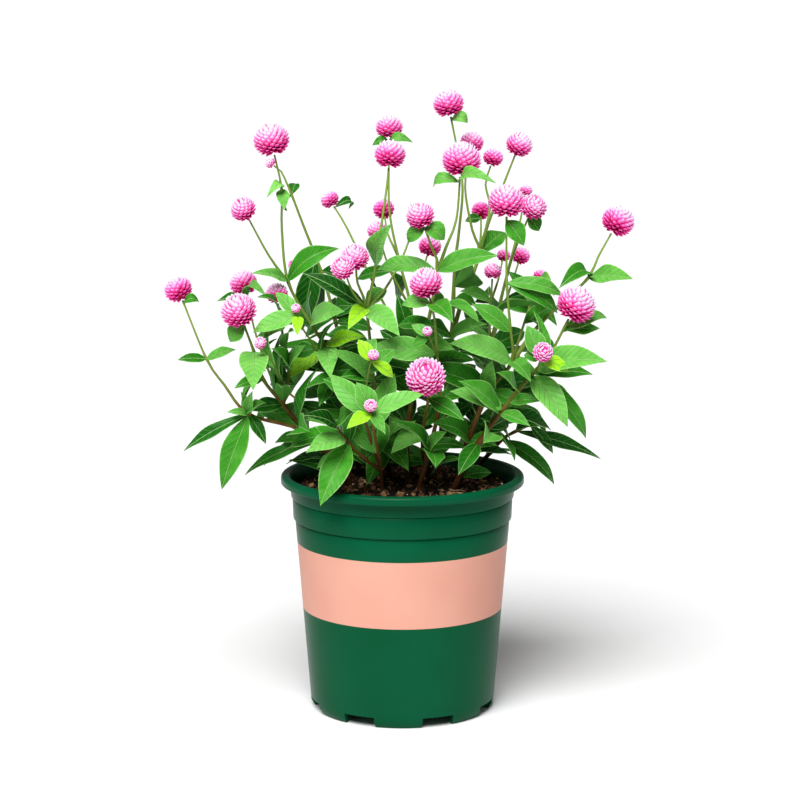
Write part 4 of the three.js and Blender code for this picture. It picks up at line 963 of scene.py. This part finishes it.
for owner, branches in enumerate(plants):
    stem = bmesh.new()
    stem.verts.layers.float_vector.new("blade")
    stem.verts.layers.float.new("tone")
    stem.verts.layers.float.new("under")
    for branch in branches:
        cast_branch(stem, branch)
    bmesh.ops.recalc_face_normals(stem, faces=stem.faces)
    smooth(stem.faces)
    for k, (leaf, tone) in enumerate(leaves[owner]):
        cast_leaf(stem, leaf, tone, owner * 50 + k)
    finished(f"shoot_{owner + 1:02d}", stem, [rind, blade_green], f"leafy_stem_{owner + 1:02d}")

# The blooms: each a globe of dry papery bracts, up to some hundred and seventy, that lap like the
# scales of a cone, point up and outwards, and are magenta at the foot and nearly white at the points,
# and paler over the globe's top, partly as painted highlight.
HEART = 0.74  # the heart's share of the globe's radius
BRACT_SPACING = 3.8
BRACT_WIDTH = 4.3
BRACT_WIDER = (0.85, 0.3)  # a width's share of that, drawn at random
BRACT_LENGTH = (0.6, 0.07)  # a length as a share of the globe's radius
BRACT_OUT = (0.85, 0.2)  # how much a bract leans out, and how much more at the top
BRACT_UP = (0.56, 0.4)  # how much it leans up the globe, and by what share less at the top
BRACT_SWAY = 0.24
BRACT_INSIDE = 0.93  # how much of its length is inside the globe's radius
BRACT_ROOT = 0.3  # how far below its place it is rooted, as a share of its length
BRACT_KEEL = 0.35
BRACT_OUTLINE = [(0.2, 0), (0.42, 0.3), (0.5, 0.55), (0.34, 0.8), (0.03, 1)]
GOLDEN_TURN = 2.399963  # the golden angle, by which each bract stands round from the last
LOWEST = -0.94  # no bract stands below this share of the radius, where the stalk comes in
BUD_WIDTH = 10.5  # below this width a globe is a young bud, and paler


def bract_pattern():
    """A bract along z from 0 to 1, across x from -0.5 to 0.5: a keeled scale that ends in a point."""
    scale = bmesh.new()
    tube(scale, 6, [Matrix.Translation((0, 0.1 * math.sin(math.pi * z) - 0.16 * z ** 3, z))
                    @ Matrix.Diagonal((r, 0.16 * r / 0.5, 1, 1)) for r, z in BRACT_OUTLINE])
    bmesh.ops.recalc_face_normals(scale, faces=scale.faces)
    for corner in scale.verts:
        corner.co.y -= BRACT_KEEL * abs(corner.co.x)
    return as_pattern(scale, "bract", {"bract": "FLOAT_VECTOR"})


bract_scale, bract_points = bract_pattern()

# Dry bract: thin, papery and faintly silky, so light spreads in it and its points look chalky.
bract, tree = new_material("dry papery bract")
along_bract, rise, shade = carried(tree, "bract")
towards_tip = add(tree, "Math", {0: along_bract, 1: 1.7}, operation="POWER")
# Paler towards a bract's points, its own colour, and paler on the globe's upper half, partly its own colour
# and partly painted highlight from the light above.
pale_points_and_painted_top_light = scaled(tree, towards_tip, 0.62, ranged(tree, rise, -0.8, 0.8, 0, 0.46))
streaked = scaled(tree, spots(tree, 1.2), 0.12, scaled(tree, shade, 0.1, pale_points_and_painted_top_light))
pink = coloured(tree, streaked, (0.16, "#9a0030"), (0.42, "#e01882"), (0.64, "#f85cb8"),
                (0.82, "#f6a0da"), (0.98, "#f1d4ec"))
surface(tree, {"Base Color": pink, "Roughness": 0.65, "Specular IOR Level": 0.1, "Subsurface Weight": 0.2,
               "Subsurface Scale": 0.8 * MM, "Subsurface Radius": (1.0, 0.5, 0.7)})

for k, (axis, radius, centre) in enumerate(heads):
    side, front = aside(axis)
    globe = bmesh.new()
    layer = globe.verts.layers.float_vector.new("bract")
    bmesh.ops.create_uvsphere(globe, u_segments=16, v_segments=10, radius=1)
    for corner in globe.verts:
        # The heart has the colour of a bract's foot, paler towards its top, partly as painted highlight.
        corner[layer] = (0.1, corner.co.z, 0)
    core = HEART * radius
    bmesh.ops.transform(globe, matrix=laid(side * core, front * core, axis * core * HEAD_FLAT, centre),
                        verts=globe.verts)
    smooth(globe.faces)
    bud = int(radius * 2 < BUD_WIDTH)
    size = min(1, 0.55 + radius / 28)  # the bracts of a young globe are smaller
    count = round(4 * math.pi * radius ** 2 / (BRACT_SPACING * size) ** 2) + 12
    for n in range(count):
        rise = 1 - 2 * (n + 0.5) / count
        if rise < LOWEST:
            continue
        angle = n * GOLDEN_TURN + k
        flat = math.sqrt(1 - rise ** 2)
        top = max(rise, 0)
        around = side * math.cos(angle) + front * math.sin(angle)
        out = around * flat + axis * rise
        climb = axis * flat - around * rise
        across = np.cross(axis, around)
        lean = unit(out * (BRACT_OUT[0] + BRACT_OUT[1] * top)
                    + climb * BRACT_UP[0] * (1 - BRACT_UP[1] * top)
                    + across * BRACT_SWAY * (draw(n + k * 3) - 0.5))
        across = square(across, lean)
        through = np.cross(across, lean)
        long = radius * drawn(BRACT_LENGTH, n * 3 + k)
        reach = radius - long * (lean @ out) * BRACT_INSIDE
        foot = centre + (around * flat + axis * rise * HEAD_FLAT) * reach - climb * long * BRACT_ROOT
        wide = BRACT_WIDTH * size * drawn(BRACT_WIDER, n + 77) * (1 + 0.12 * min(rise, 0))
        turn = np.stack((across * wide, through * wide, lean * long))
        values = np.broadcast_arrays(bract_points[:, 2], rise, draw(n * 1.7 + k) + bud)
        cast(globe, bract_scale, bract_points @ turn + foot, bract=np.column_stack(values))
    finished(f"globe_{k + 1:02d}", globe, [bract], f"flower_head_{k + 1:02d}")

# The studio: a seamless pale floor, a large soft lamp far up in front and to the left, and a weak
# even light from all around.
FLOOR_SIZE = 70
LAMP_STRENGTH = 4.9
LAMP_WIDTH = 38  # degrees
LAMP_SHINES = (0.2, 0.72, -1)
ROUND_LIGHT = 0.2
floor = bmesh.new()
bmesh.ops.create_grid(floor, x_segments=1, y_segments=1, size=FLOOR_SIZE)
floor = placed("floor", floor)
sweep, tree = new_material("matt white paper sweep")
surface(tree, {"Base Color": linear("#e3e3e3"), "Roughness": 0.9, "Specular IOR Level": 0.1})
floor.data.materials.append(sweep)

lamp = bpy.data.lights.new("softbox", "SUN")
lamp.energy = LAMP_STRENGTH
lamp.angle = math.radians(LAMP_WIDTH)
softbox = bpy.data.objects.new("softbox", lamp)
softbox.rotation_euler = Vector(LAMP_SHINES).to_track_quat("-Z", "Y").to_euler()
scene.collection.objects.link(softbox)
world = bpy.data.worlds.new("studio")
scene.world = world
world.use_nodes = True
background = world.node_tree.nodes["Background"]
background.inputs["Color"].default_value = (1, 1, 1, 1)
background.inputs["Strength"].default_value = ROUND_LIGHT
scene.view_settings.view_transform = "Standard"
